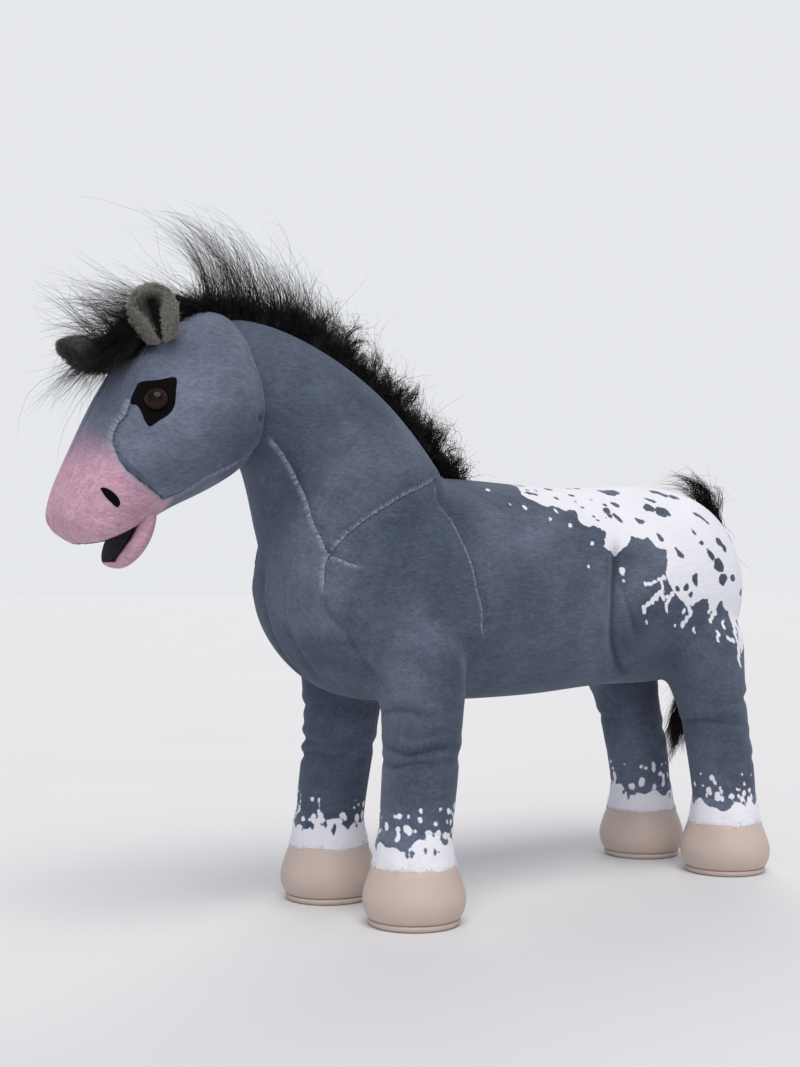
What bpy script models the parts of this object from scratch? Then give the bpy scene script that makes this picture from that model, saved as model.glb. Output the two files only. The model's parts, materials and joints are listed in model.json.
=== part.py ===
"""Plush horse on four feet, with a bendable inner frame.

Metres, +Z up. The horse faces -Y and its left side is +X. The origin lies on the ground under the
middle of its bounding box. Bodies turn about hinges that lie along X.
"""

import math

import bmesh
import bpy
from mathutils import Matrix, Vector
from mathutils.bvhtree import BVHTree

# Whole horse
GAP = 0.0003
NOSE_REACH = 0.4712
TAIL_REACH = 0.2572
STANCE_LENGTH = 0.370
FRONT_TRACK = 0.124
HIND_TRACK = 0.110
CUT_REACH = 0.900

# Torso
BODY_LENGTH = 0.519
BODY_DEPTH = 0.187
BODY_WIDTH = 0.166
BODY_MIDDLE_HEIGHT = 0.266
CHEST_REACH = 0.281
BODY_SAG = 0.012

# Neck
NECK_HINGE_REACH = 0.222
NECK_HINGE_HEIGHT = 0.330
NECK_BALL_RADIUS = 0.072
NECK_ROOT_REACH = 0.186
NECK_ROOT_HEIGHT = 0.290
NECK_RUN = 0.135
NECK_RISE = 0.143
NECK_DEPTH = 0.182
NECK_WIDTH = 0.142

# Head
HEAD_HINGE_REACH = 0.362
HEAD_HINGE_HEIGHT = 0.415
HEAD_BALL_RADIUS = 0.060
SKULL_REACH = 0.312
SKULL_HEIGHT = 0.4335
HEAD_RUN = 0.1445
HEAD_FALL = 0.1315
HEAD_DEPTH = 0.135
HEAD_WIDTH = 0.108
CHEEK_CENTRE_REACH = 0.352
CHEEK_CENTRE_HEIGHT = 0.405
CHEEK_RADIUS = 0.0875

# Mouth and lower jaw
JAW_HINGE_REACH = 0.390
JAW_HINGE_HEIGHT = 0.320
JAW_BALL_RADIUS = 0.009
JAW_LENGTH = 0.052
JAW_DROP = 0.004
JAW_DEPTH = 0.025
JAW_WIDTH = 0.058
LINING_THICKNESS = 0.0012
LINING_WIDTH = 0.040
LINING_LENGTH = 0.050

# Eyes and nostrils
EYE_REACH = 0.408
EYE_HEIGHT = 0.401
EYE_RADIUS = 0.0095
EYE_BULGE = 0.0055
EYE_POCKET_DEPTH = 0.003
SHANK_RADIUS = 0.0022
SHANK_LENGTH = 0.013
WASHER_RADIUS = 0.0072
WASHER_THICKNESS = 0.0016
PATCH_THICKNESS = 0.0012
PATCH_LENGTH = 0.040
PATCH_HEIGHT = 0.034
NOSTRIL_REACH = 0.440
NOSTRIL_HEIGHT = 0.333
NOSTRIL_LENGTH = 0.017
NOSTRIL_BREADTH = 0.008
NOSTRIL_TURN = -52

# Ears
EAR_REACH = 0.392
EAR_SINK = 0.002
EAR_SPREAD = 0.029
EAR_LENGTH = 0.052
EAR_BREADTH = 0.036
EAR_THICKNESS = 0.020
EAR_WALL = 0.0040
LINING_WALL = 0.0030
EAR_BALL_RADIUS = 0.0065
EAR_LIFT = 0.0105
EAR_CLEARANCE = 0.0028
LEFT_EAR_TURNS = (6, 20, 50)
RIGHT_EAR_TURNS = (75, 42, 10)

# Hair
MANE_BREADTH = 0.020
MANE_ROOT_REACH = 0.100
MANE_ROOT_HEIGHT = 0.362
MANE_RUN = 0.215
MANE_RISE = 0.118
MANE_LENGTH = 0.066
FORELOCK_RUN = 0.116
FORELOCK_FALL = 0.082
FORELOCK_REACH = 0.345
FORELOCK_HEIGHT = 0.510
FORELOCK_DEPTH = 0.074
FORELOCK_BREADTH = 0.028
FORELOCK_LEAN = -20

# Tail
TAIL_HINGE_REACH = 0.204
TAIL_HINGE_HEIGHT = 0.331
DOCK_RADIUS = 0.012
DOCK_LENGTH = 0.030
DOCK_RISE = 35
STUB_RADIUS = 0.0072
HAIR_START = 0.0168
TAIL_RUN = 0.030
TAIL_FALL = 0.225
TAIL_DRIFT = 0.005
TAIL_THICKNESS = 0.026

# Legs
SHOULDER_REACH = 0.177
SHOULDER_HEIGHT = 0.200
SHOULDER_RADIUS = 0.050
HIP_REACH = 0.168
HIP_HEIGHT = 0.205
HIP_RADIUS = 0.052
KNEE_HEIGHT = 0.128
KNEE_RADIUS = 0.0306
LEG_LENGTH = 0.200
LEG_WIDTH = 0.061
CORE_WIDTH = 0.048

# Feet
HOOF_RADIUS = 0.041
HOOF_HEIGHT = 0.046
SOLE_THICKNESS = 0.005
SOLE_RADIUS = 0.0385
SOLE_BEVEL = 0.0012
HOOF_TOP_RADIUS = 0.029
WEIGHT_RADIUS = 0.0300
WEIGHT_HEIGHT = 0.0240
CUFF_HEIGHT = 0.036
CUFF_THICKNESS = 0.0050
CUFF_CLEARANCE = 0.0008

# Inner wires
WIRE_RADIUS = 0.0022
SPINE_HEIGHT = 0.285
SPINE_LENGTH = 0.345
SPINE_START_REACH = 0.150
CROSS_WIRE_LENGTH = 0.100
UPPER_WIRE_LENGTH = 0.048
LOWER_WIRE_LENGTH = 0.096
NECK_WIRE_LENGTH = 0.036

# Swing limits in degrees
NECK_FORWARD = 15
NECK_BACK = 8
NOD_DOWN = 15
NOD_UP = 12
LEG_SWING = 15
KNEE_SWING = 25
JAW_SWING = 8
SWING_MARGIN = 1
KNEE_EDGE = 12
KNEE_SLACK = 2

# Facets
RING_COUNT = 12
LEG_RING_COUNT = 8
HAIR_RING_COUNT = 8
ARC_STEP = 7.5
TURN_STEPS = 16
BALL_FACETS = (10, 8)
EAR_FACETS = (12, 8)
CUP_FACETS = (10, 7)
EYE_RINGS = 8
WIRE_SIDES = 8

# Each row: way along, height of the middle, half depth, half width
torso_shares = (
    (0.000, 0.17, 0.235, 0.36),
    (0.032, 0.00, 0.590, 0.72),
    (0.098, -0.17, 0.900, 0.92),
    (0.192, -0.08, 1.000, 1.00),
    (0.300, 0.00, 1.025, 1.02),
    (0.415, -0.08, 1.020, 1.01),
    (0.541, -0.17, 0.995, 0.99),
    (0.657, 0.17, 0.975, 0.99),
    (0.763, 0.33, 1.010, 1.02),
    (0.854, 0.33, 0.985, 0.99),
    (0.930, 0.17, 0.860, 0.82),
    (0.978, -0.20, 0.560, 0.52),
    (1.000, -0.60, 0.220, 0.20),
)

# Each row: way along, way up, half depth, half width, lean in degrees
neck_shares = (
    (0.000, 0.000, 1.03, 1.04, 55),
    (0.178, 0.315, 0.94, 0.98, 56),
    (0.359, 0.584, 0.83, 0.86, 47),
    (0.552, 0.783, 0.690, 0.74, 34),
    (0.759, 0.927, 0.580, 0.67, 19),
    (1.000, 1.000, 0.527, 0.63, 6),
    (1.180, 1.060, 0.330, 0.43, 0),
)

# Each row: way along, way down, half depth, half width, lean in degrees
head_shares = (
    (0.000, -0.010, 0.650, 0.72, -10),
    (0.100, 0.062, 0.940, 0.93, -19),
    (0.298, 0.192, 0.955, 1.01, -26),
    (0.488, 0.344, 0.880, 0.98, -30),
    (0.640, 0.505, 0.725, 0.89, -34),
    (0.740, 0.655, 0.605, 0.76, -42),
    (0.830, 0.790, 0.515, 0.70, -51),
    (0.892, 0.915, 0.455, 0.69, -60),
    (0.922, 1.020, 0.375, 0.60, -66),
)

# Each row: way along, half depth, half width
jaw_shares = (
    (0.02, 0.62, 0.80),
    (0.38, 1.00, 1.00),
    (0.72, 0.85, 0.86),
    (1.00, 0.42, 0.52),
)

# Each row: way up the leg, way from the foot's line to the hinge's line, half depth, half width
front_leg_shares = (
    (0.00, 0.00, 0.95, 0.95),
    (0.15, 0.00, 0.97, 0.97),
    (0.30, 0.08, 0.98, 0.98),
    (0.43, 0.40, 1.00, 1.00),
    (0.56, 0.70, 1.06, 1.01),
    (0.70, 1.00, 1.21, 1.06),
    (0.85, 1.00, 1.34, 0.98),
    (1.00, 1.00, 0.98, 0.80),
)
hind_leg_shares = (
    (0.00, 0.00, 0.95, 0.95),
    (0.15, 0.00, 0.97, 0.97),
    (0.30, 0.08, 0.98, 0.98),
    (0.43, 0.40, 1.00, 1.00),
    (0.56, 0.80, 1.05, 1.01),
    (0.70, 1.00, 1.20, 1.05),
    (0.85, 1.00, 1.42, 0.98),
    (1.00, 1.00, 1.06, 0.80),
)

# Each row: way along the crest, way up, hair length, lean in degrees
mane_shares = (
    (0.00, 0.00, 0.30, 50),
    (0.12, 0.20, 0.62, 48),
    (0.30, 0.46, 0.76, 40),
    (0.50, 0.70, 0.82, 32),
    (0.70, 0.88, 0.90, 22),
    (0.88, 0.97, 1.00, 12),
    (1.05, 1.00, 1.00, 4),
)

# Each row: way forward, way down, half depth, half width
forelock_shares = (
    (0.00, 0.00, 0.80, 0.70),
    (0.18, 0.06, 1.00, 1.00),
    (0.40, 0.22, 0.92, 1.00),
    (0.65, 0.52, 0.68, 0.92),
    (0.86, 0.82, 0.46, 0.78),
    (1.00, 1.00, 0.20, 0.36),
)

# Each row: way back, way down, way to the right, half thickness, half width, lean in degrees
tail_shares = (
    (0.00, -0.02, 0.00, 0.62, 0.62, -25),
    (0.42, -0.05, 0.20, 0.80, 0.85, 20),
    (0.88, 0.06, 0.60, 0.80, 1.00, 68),
    (1.02, 0.28, 1.00, 0.80, 1.10, 90),
    (0.88, 0.52, 1.00, 0.85, 1.10, 112),
    (0.20, 0.76, 0.80, 0.85, 0.95, 128),
    (-0.70, 1.00, 0.60, 0.34, 0.40, 135),
)

# Each pair: way forward and way up on the eye's black patch, from its middle
eye_patch_shares = (
    (0.36, 0.02), (0.27, -0.20), (0.10, -0.40), (-0.06, -0.50), (-0.24, -0.28), (-0.36, 0.00),
    (-0.44, 0.28), (-0.50, 0.50), (-0.26, 0.47), (0.00, 0.38), (0.22, 0.25),
)

# Each pair: way along and way across the nostril's comma, from its middle
nostril_shares = (
    (-0.50, 0.02), (-0.20, -0.30), (0.16, -0.44), (0.44, -0.30), (0.50, 0.10), (0.34, 0.42),
    (0.06, 0.46), (-0.18, 0.22),
)

# Each pair: way out and way up on the hoof's side, sole to top
hoof_shares = ((0.93, 0.115), (0.985, 0.25), (1.0, 0.45), (0.975, 0.62), (0.90, 0.78), (0.81, 0.90))

# Each pair: way out and way up on the cuff's outer side, from its top inner edge
cuff_shares = ((0.00, 0.965), (0.30, 1.00), (0.80, 0.50), (1.15, 0.07), (1.05, 0.00))

# Seats of the two hinge halves, degrees from +Y towards +Z
TORSO_SEAT = (199, 373)
NECK_SEAT = (-60, 60)
MOUTH_ROOF_ANGLE = 202
MOUTH_REAR_ANGLE = 312
JAW_TOP_ANGLE = 220
JAW_DROOP = 8

PLUSH_HEX = "5d6675"
PINK_HEX = "c9909f"
WHITE_HEX = "e9e7e4"
BLACK_HEX = "131316"
HOOF_HEX = "c3ac97"
EAR_HEX = "7f8588"
EYE_HEX = "2a1610"
STEEL_HEX = "8d9094"
WEIGHT_HEX = "5a5a5c"

for old in list(bpy.data.objects):
    bpy.data.objects.remove(old, do_unlink=True)

horse = bpy.data.collections.new("plush_horse")
cutters = bpy.data.collections.new("cutters")
bpy.context.scene.collection.children.link(horse)
bpy.context.scene.collection.children.link(cutters)


def linear(hex_colour):
    """sRGB hex to linear RGBA."""
    shares = [int(hex_colour[i:i + 2], 16) / 255 for i in (0, 2, 4)]
    return [s / 12.92 if s <= 0.04045 else ((s + 0.055) / 1.055) ** 2.4 for s in shares] + [1.0]


def material(name, hex_colour, roughness, metallic=0.0):
    made = bpy.data.materials.new(name)
    made.use_nodes = True
    shader = made.node_tree.nodes["Principled BSDF"]
    shader.inputs["Base Color"].default_value = linear(hex_colour)
    shader.inputs["Roughness"].default_value = roughness
    shader.inputs["Metallic"].default_value = metallic
    return made


plush = material("grey_short_plush", PLUSH_HEX, 0.9)
pink_plush = material("pink_short_plush", PINK_HEX, 0.9)
white_plush = material("white_long_plush", WHITE_HEX, 0.95)
black_felt = material("black_felt", BLACK_HEX, 0.9)
hair_pile = material("black_hair_pile", BLACK_HEX, 0.5)
hoof_leather = material("beige_imitation_leather", HOOF_HEX, 0.5)
ear_plush = material("grey_green_long_plush", EAR_HEX, 0.95)
glass = material("brown_black_glass", EYE_HEX, 0.08)
wire_steel = material("sleeved_steel_wire", STEEL_HEX, 0.4, 0.9)
ballast = material("weight_disc", WEIGHT_HEX, 0.6, 0.3)


def empty(name, place, parent=None):
    """An empty at a place that is given from the middle of the stance."""
    made = bpy.data.objects.new(name, None)
    horse.objects.link(made)
    made["place"] = place
    made.location = place
    if parent:
        made.parent = parent
        made.location = Vector(place) - Vector(parent["place"])
    return made


STANCE_SHIFT = (NOSE_REACH - TAIL_REACH) / 2
stance = empty("stance", (0, 0, 0))
stance.location = (0, STANCE_SHIFT, 0)


def place_object(name, mesh, collection, pivot=stance):
    """An object whose mesh is given from the middle of the stance, turning with its pivot."""
    made = bpy.data.objects.new(name, mesh)
    collection.objects.link(made)
    made.parent = pivot
    made.location = -Vector(pivot["place"])
    return made


def finish_mesh(name, work):
    bmesh.ops.recalc_face_normals(work, faces=work.faces)
    if work.calc_volume(signed=True) < 0:
        bmesh.ops.reverse_faces(work, faces=work.faces)
    mesh = bpy.data.meshes.new(name)
    work.to_mesh(mesh)
    work.free()
    return mesh


def loft_mesh(name, rows, count):
    """A closed loft. Each row: centre x, y, z, half depth, half width, lean from upright to +Y."""
    work = bmesh.new()
    swell = 3 / (2 + math.cos(2 * math.pi / count))
    rings = []
    for x, y, z, half_depth, half_width, lean in rows:
        ring = []
        tilt = math.radians(lean)
        for i in range(count):
            turn = 2 * math.pi * i / count
            across = half_width * swell * math.cos(turn)
            along = half_depth * swell * math.sin(turn)
            spot = (x + across, y + along * math.sin(tilt), z + along * math.cos(tilt))
            ring.append(work.verts.new(spot))
        rings.append(ring)
    for low, high in zip(rings, rings[1:]):
        for i in range(count):
            j = (i + 1) % count
            work.faces.new((low[i], low[j], high[j], high[i]))
    work.faces.new(rings[0][::-1])
    work.faces.new(rings[-1])
    return finish_mesh(name, work)


def prism_mesh(name, outline, x_from, x_to):
    """An outline of (y, z) points, drawn out along X."""
    work = bmesh.new()
    face = work.faces.new([work.verts.new((x_from, y, z)) for y, z in outline])
    moved = bmesh.ops.extrude_face_region(work, geom=[face])["geom"]
    drawn = [v for v in moved if isinstance(v, bmesh.types.BMVert)]
    bmesh.ops.translate(work, verts=drawn, vec=(x_to - x_from, 0, 0))
    caps = [f for f in work.faces if len(f.verts) > 4]
    bmesh.ops.triangulate(work, faces=caps, ngon_method="EAR_CLIP")
    return finish_mesh(name, work)


def cylinder_mesh(name, start, end, radius, sides=WIRE_SIDES):
    """A cylinder between two points."""
    start, end = Vector(start), Vector(end)
    work = bmesh.new()
    bmesh.ops.create_cone(work, cap_ends=True, segments=sides, radius1=radius, radius2=radius,
                          depth=(end - start).length)
    turn = (end - start).to_track_quat("Z", "Y").to_matrix().to_4x4()
    work.transform(Matrix.Translation((start + end) / 2) @ turn)
    return finish_mesh(name, work)


def ball_mesh(name, centre, radii, segments=16, rings=10, tilt=None):
    """An ellipsoid with its long axis along its own Z, turned by tilt."""
    work = bmesh.new()
    bmesh.ops.create_uvsphere(work, u_segments=segments, v_segments=rings, radius=1)
    work.transform(Matrix.Translation(centre) @ (tilt or Matrix()) @ Matrix.Diagonal((*radii, 1)))
    return finish_mesh(name, work)


def add_levels(made, levels=1):
    soft = made.modifiers.new("soft form", "SUBSURF")
    soft.levels = levels
    soft.render_levels = levels


def combine(made, operand, operation):
    cut = made.modifiers.new(f"{operation.lower()} {operand.name}", "BOOLEAN")
    cut.operation = operation
    cut.object = operand


def cut_away(made, *operands):
    for operand in operands:
        combine(made, operand, "DIFFERENCE")


def guide(name, mesh):
    """A cutter or a shape that others are cut by. It isn't part of the horse."""
    made = place_object(name, mesh, cutters)
    made.hide_render = True
    made.display_type = "WIRE"
    return made


def piece(name, mesh, finish, pivot=stance):
    made = place_object(name, mesh, horse, pivot)
    made.data.materials.clear()
    made.data.materials.append(finish)
    made.data.shade_smooth()
    return made


def arc(centre, radius, start, end):
    """Points on an arc in the YZ plane, from start to end degrees, on both ends."""
    steps = max(2, math.ceil(abs(end - start) / ARC_STEP))
    turns = [math.radians(start + (end - start) * i / steps) for i in range(steps + 1)]
    return [(centre[0] + radius * math.cos(t), centre[1] + radius * math.sin(t)) for t in turns]


def keyhole(centre, radius, start, end, reach=CUT_REACH):
    """A disc with a sector that runs out from it: the space that the inner half needs."""
    return arc(centre, radius, end, start + 360) + arc(centre, reach, start, end)


def ring_sector(centre, radius, start, end, reach=CUT_REACH):
    """A sector without its disc: the space that the outer half needs."""
    return arc(centre, radius, start, end) + arc(centre, reach, end, start)


def disc(centre, radius):
    return arc(centre, radius, 0, 360)[:-1]


half_body_width = BODY_WIDTH / 2
half_body_depth = BODY_DEPTH / 2
full_cut = (-BODY_WIDTH, BODY_WIDTH)

neck_hinge = (-NECK_HINGE_REACH, NECK_HINGE_HEIGHT)
head_hinge = (-HEAD_HINGE_REACH, HEAD_HINGE_HEIGHT)
jaw_hinge = (-JAW_HINGE_REACH, JAW_HINGE_HEIGHT)
tail_hinge = (TAIL_HINGE_REACH, TAIL_HINGE_HEIGHT)

neck_pivot = empty("neck_pivot", (0, *neck_hinge), stance)
head_pivot = empty("head_pivot", (0, *head_hinge), neck_pivot)
jaw_pivot = empty("jaw_pivot", (0, *jaw_hinge), head_pivot)
tail_pivot = empty("tail_pivot", (0, *tail_hinge), stance)

# Soft forms that the pieces are cut from
torso_rows = [
    (0, -CHEST_REACH + along * BODY_LENGTH, BODY_MIDDLE_HEIGHT + up * BODY_SAG,
     depth * half_body_depth, width * half_body_width, 0)
    for along, up, depth, width in torso_shares
]
torso_form = guide("torso_form", loft_mesh("torso", torso_rows, RING_COUNT))
add_levels(torso_form)

neck_rows = [
    (0, -NECK_ROOT_REACH - along * NECK_RUN, NECK_ROOT_HEIGHT + up * NECK_RISE,
     depth * NECK_DEPTH / 2, width * NECK_WIDTH / 2, lean)
    for along, up, depth, width, lean in neck_shares
]
neck_form = guide("neck_form", loft_mesh("neck", neck_rows, RING_COUNT))
add_levels(neck_form)

head_rows = [
    (0, -SKULL_REACH - along * HEAD_RUN, SKULL_HEIGHT - down * HEAD_FALL,
     depth * HEAD_DEPTH / 2, width * HEAD_WIDTH / 2, lean)
    for along, down, depth, width, lean in head_shares
]
head_form = guide("head_form", loft_mesh("head", head_rows, RING_COUNT))
add_levels(head_form)


def grown(form, name, amount):
    """The form, larger all round by an amount."""
    made = guide(name, form.data)
    add_levels(made)
    swell = made.modifiers.new("grow", "DISPLACE")
    swell.strength = amount
    swell.mid_level = 0
    return made


head_skin = grown(head_form, "head_skin", GAP)
head_patch_skin = grown(head_form, "head_patch_skin", GAP + PATCH_THICKNESS)
neck_skin = grown(neck_form, "neck_skin", GAP)
ear_room = grown(head_form, "ear_room", EAR_CLEARANCE)
rump_skin = grown(torso_form, "rump_skin", GAP)


def surface_point(form, start, heading):
    """Where a line from outside first meets the form."""
    bpy.context.view_layer.update()
    shaped = form.evaluated_get(bpy.context.evaluated_depsgraph_get())
    tree = BVHTree.FromPolygons([v.co for v in shaped.data.vertices],
                                [p.vertices for p in shaped.data.polygons])
    return tree.ray_cast(Vector(start), Vector(heading))[0]


eye_surface = surface_point(head_form, (CUT_REACH, -EYE_REACH, EYE_HEIGHT), (-1, 0, 0)).x
ear_height = surface_point(head_form, (EAR_SPREAD, -EAR_REACH, CUT_REACH), (0, 0, -1)).z - EAR_SINK


# Hinge spaces
neck_space = guide("neck_space", prism_mesh("neck_space", keyhole(
    neck_hinge, NECK_BALL_RADIUS + GAP, TORSO_SEAT[1] - 360, TORSO_SEAT[0]), *full_cut))
torso_space = guide("torso_space", prism_mesh("torso_space", ring_sector(
    neck_hinge, NECK_BALL_RADIUS, TORSO_SEAT[0] - NECK_FORWARD - SWING_MARGIN,
    TORSO_SEAT[1] + NECK_BACK + SWING_MARGIN), *full_cut))
head_space = guide("head_space", prism_mesh("head_space", keyhole(
    head_hinge, HEAD_BALL_RADIUS + GAP, NECK_SEAT[1], NECK_SEAT[0] + 360), *full_cut))
nape_space = guide("nape_space", prism_mesh("nape_space", ring_sector(
    head_hinge, HEAD_BALL_RADIUS, NECK_SEAT[0] - NOD_DOWN - SWING_MARGIN,
    NECK_SEAT[1] + NOD_UP + SWING_MARGIN), *full_cut))
jaw_space = guide("jaw_space", prism_mesh("jaw_space", keyhole(
    jaw_hinge, JAW_BALL_RADIUS + GAP, MOUTH_ROOF_ANGLE, MOUTH_REAR_ANGLE), *full_cut))
roof_space = guide("roof_space", prism_mesh("roof_space", ring_sector(
    jaw_hinge, JAW_BALL_RADIUS, MOUTH_REAR_ANGLE - JAW_SWING - SWING_MARGIN, JAW_TOP_ANGLE + 360),
    *full_cut))
cheek_centre = (-CHEEK_CENTRE_REACH, CHEEK_CENTRE_HEIGHT)
cheek_round = guide("cheek_round", prism_mesh("cheek_round", disc(cheek_centre, CHEEK_RADIUS - GAP),
                                              *full_cut))
muzzle_seat = guide("muzzle_seat", prism_mesh("muzzle_seat", disc(cheek_centre, CHEEK_RADIUS),
                                              *full_cut))
floor_block = guide("floor_block", prism_mesh("floor_block", [
    (-CUT_REACH, -CUT_REACH), (CUT_REACH, -CUT_REACH), (CUT_REACH, HOOF_HEIGHT + GAP),
    (-CUT_REACH, HOOF_HEIGHT + GAP)], *full_cut))


def wire(name, start, end, hosts, pivot=stance, overrun=(0.0, 0.0)):
    """A round wire in a bore that the hosts share. The bore runs on past its ends by the overruns."""
    start, end = Vector(start), Vector(end)
    along = (end - start).normalized()
    bore = guide(f"{name}_bore", cylinder_mesh(
        f"{name}_bore", start - along * (overrun[0] + GAP), end + along * (overrun[1] + GAP),
        WIRE_RADIUS + GAP))
    for host in hosts:
        cut_away(host, bore)
    return piece(name, cylinder_mesh(name, start, end, WIRE_RADIUS), wire_steel, pivot)


def torso_and_neck():
    torso = piece("torso", torso_form.data.copy(), plush)
    add_levels(torso)
    cut_away(torso, neck_space)
    neck = piece("neck", neck_form.data.copy(), plush, neck_pivot)
    add_levels(neck)
    combine(neck, torso_form, "UNION")
    cut_away(neck, torso_space, head_space)
    return torso, neck


torso, neck = torso_and_neck()


def neck_and_spine_wires():
    spine_start = (0, -SPINE_START_REACH, SPINE_HEIGHT)
    spine_end = (0, -SPINE_START_REACH + SPINE_LENGTH, SPINE_HEIGHT)
    wire("spine_wire", spine_start, spine_end, [torso], overrun=(NECK_BALL_RADIUS, 0))
    low, high = Vector((0, *neck_hinge)), Vector((0, *head_hinge))
    along = (high - low).normalized()
    top = high - along * (HEAD_BALL_RADIUS + WIRE_RADIUS)
    wire("neck_wire", top - along * NECK_WIRE_LENGTH, top, [neck], neck_pivot,
         overrun=(0, HEAD_BALL_RADIUS))


neck_and_spine_wires()


def skull_and_muzzle():
    head = piece("head", head_form.data.copy(), plush, head_pivot)
    add_levels(head)
    combine(head, cheek_round, "INTERSECT")
    cut_away(head, nape_space, jaw_space)
    muzzle = piece("muzzle", head_form.data.copy(), pink_plush, head_pivot)
    add_levels(muzzle)
    cut_away(muzzle, muzzle_seat, jaw_space)
    return head, muzzle


head, muzzle = skull_and_muzzle()


def lower_jaw():
    fall = math.radians(JAW_TOP_ANGLE + JAW_DROOP)
    heading = Vector((math.cos(fall), math.sin(fall)))
    down = Vector((-heading.y, heading.x))
    lean = math.degrees(math.atan2(heading.y, -heading.x))
    rows = []
    for along, depth, width in jaw_shares:
        middle = Vector(jaw_hinge) + heading * along * JAW_LENGTH + down * (1 - along) * JAW_DROP
        rows.append((0, *middle, depth * JAW_DEPTH / 2, width * JAW_WIDTH / 2, lean))
    jaw = piece("lower_jaw", loft_mesh("lower_jaw", rows, RING_COUNT), pink_plush, jaw_pivot)
    add_levels(jaw)
    cut_away(jaw, roof_space)


def mouth_lining():
    """A black sheet under the roof of the mouth."""
    roof = math.radians(MOUTH_ROOF_ANGLE)
    out = Vector((math.cos(roof), math.sin(roof)))
    down = Vector((-out.y, out.x))
    near = Vector(jaw_hinge) + out * (JAW_BALL_RADIUS + 4 * GAP) + down * GAP
    far = near + out * LINING_LENGTH
    outline = [near, far, far + down * LINING_THICKNESS, near + down * LINING_THICKNESS]
    piece("mouth_lining", prism_mesh("mouth_lining", outline, -LINING_WIDTH / 2, LINING_WIDTH / 2),
          black_felt, head_pivot)


lower_jaw()
mouth_lining()


def eye(side, sign):
    """A glass dome on a shank in a pocket, with its lock washer in the bore behind it."""
    seat = eye_surface - EYE_POCKET_DEPTH
    centre = (-EYE_REACH, EYE_HEIGHT)

    def spot(x):
        return (sign * x, *centre)

    pocket = guide(f"eye_pocket_{side}", cylinder_mesh(
        f"eye_pocket_{side}", spot(seat - GAP), spot(seat + EYE_RADIUS + EYE_POCKET_DEPTH),
        EYE_RADIUS + GAP, TURN_STEPS))
    cut_away(head, pocket)
    dome = ball_mesh(f"eye_{side}", spot(seat), (EYE_RADIUS, EYE_RADIUS, EYE_BULGE + EYE_POCKET_DEPTH),
                     TURN_STEPS, EYE_RINGS, Matrix.Rotation(math.pi / 2, 4, "Y"))
    made = piece(f"eye_{side}", dome, glass, head_pivot)
    back = guide(f"eye_back_{side}", cylinder_mesh(
        f"eye_back_{side}", spot(seat), spot(seat - 2 * EYE_RADIUS), 2 * EYE_RADIUS))
    cut_away(made, back)
    shank = guide(f"eye_shank_{side}", cylinder_mesh(
        f"eye_shank_{side}", spot(seat + EYE_POCKET_DEPTH), spot(seat - SHANK_LENGTH), SHANK_RADIUS))
    combine(made, shank, "UNION")
    washer_at = seat - SHANK_LENGTH + 2 * WASHER_THICKNESS
    washer = piece(f"eye_washer_{side}", cylinder_mesh(
        f"eye_washer_{side}", spot(washer_at), spot(washer_at + WASHER_THICKNESS), WASHER_RADIUS,
        TURN_STEPS), wire_steel, head_pivot)
    hole = guide(f"washer_hole_{side}", cylinder_mesh(
        f"washer_hole_{side}", spot(0), spot(seat), SHANK_RADIUS + GAP))
    cut_away(washer, hole)
    patch_outline = [(-EYE_REACH - fore * PATCH_LENGTH, EYE_HEIGHT + up * PATCH_HEIGHT)
                     for fore, up in eye_patch_shares]
    patch = patch_on_head(f"eye_patch_{side}", patch_outline, sign)
    cut_away(patch, pocket)


def patch_on_head(name, outline, sign):
    """A thin felt shape that follows the head's side."""
    made = piece(name, prism_mesh(name, outline, 0, sign * HEAD_WIDTH), black_felt, head_pivot)
    combine(made, head_patch_skin, "INTERSECT")
    cut_away(made, head_skin)
    return made


def nostril(side, sign):
    turn = math.radians(NOSTRIL_TURN)
    outline = []
    for along, across in nostril_shares:
        fore = along * NOSTRIL_LENGTH * math.cos(turn) - across * NOSTRIL_BREADTH * math.sin(turn)
        up = along * NOSTRIL_LENGTH * math.sin(turn) + across * NOSTRIL_BREADTH * math.cos(turn)
        outline.append((-NOSTRIL_REACH + fore, NOSTRIL_HEIGHT + up))
    patch_on_head(f"nostril_{side}", outline, sign)


bore_half = eye_surface - EYE_POCKET_DEPTH
eye_bore = guide("eye_bore", cylinder_mesh(
    "eye_bore", (-bore_half, -EYE_REACH, EYE_HEIGHT), (bore_half, -EYE_REACH, EYE_HEIGHT),
    WASHER_RADIUS + GAP, TURN_STEPS))
cut_away(head, eye_bore)
for side, sign in (("left", 1), ("right", -1)):
    eye(side, sign)
    nostril(side, sign)


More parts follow.
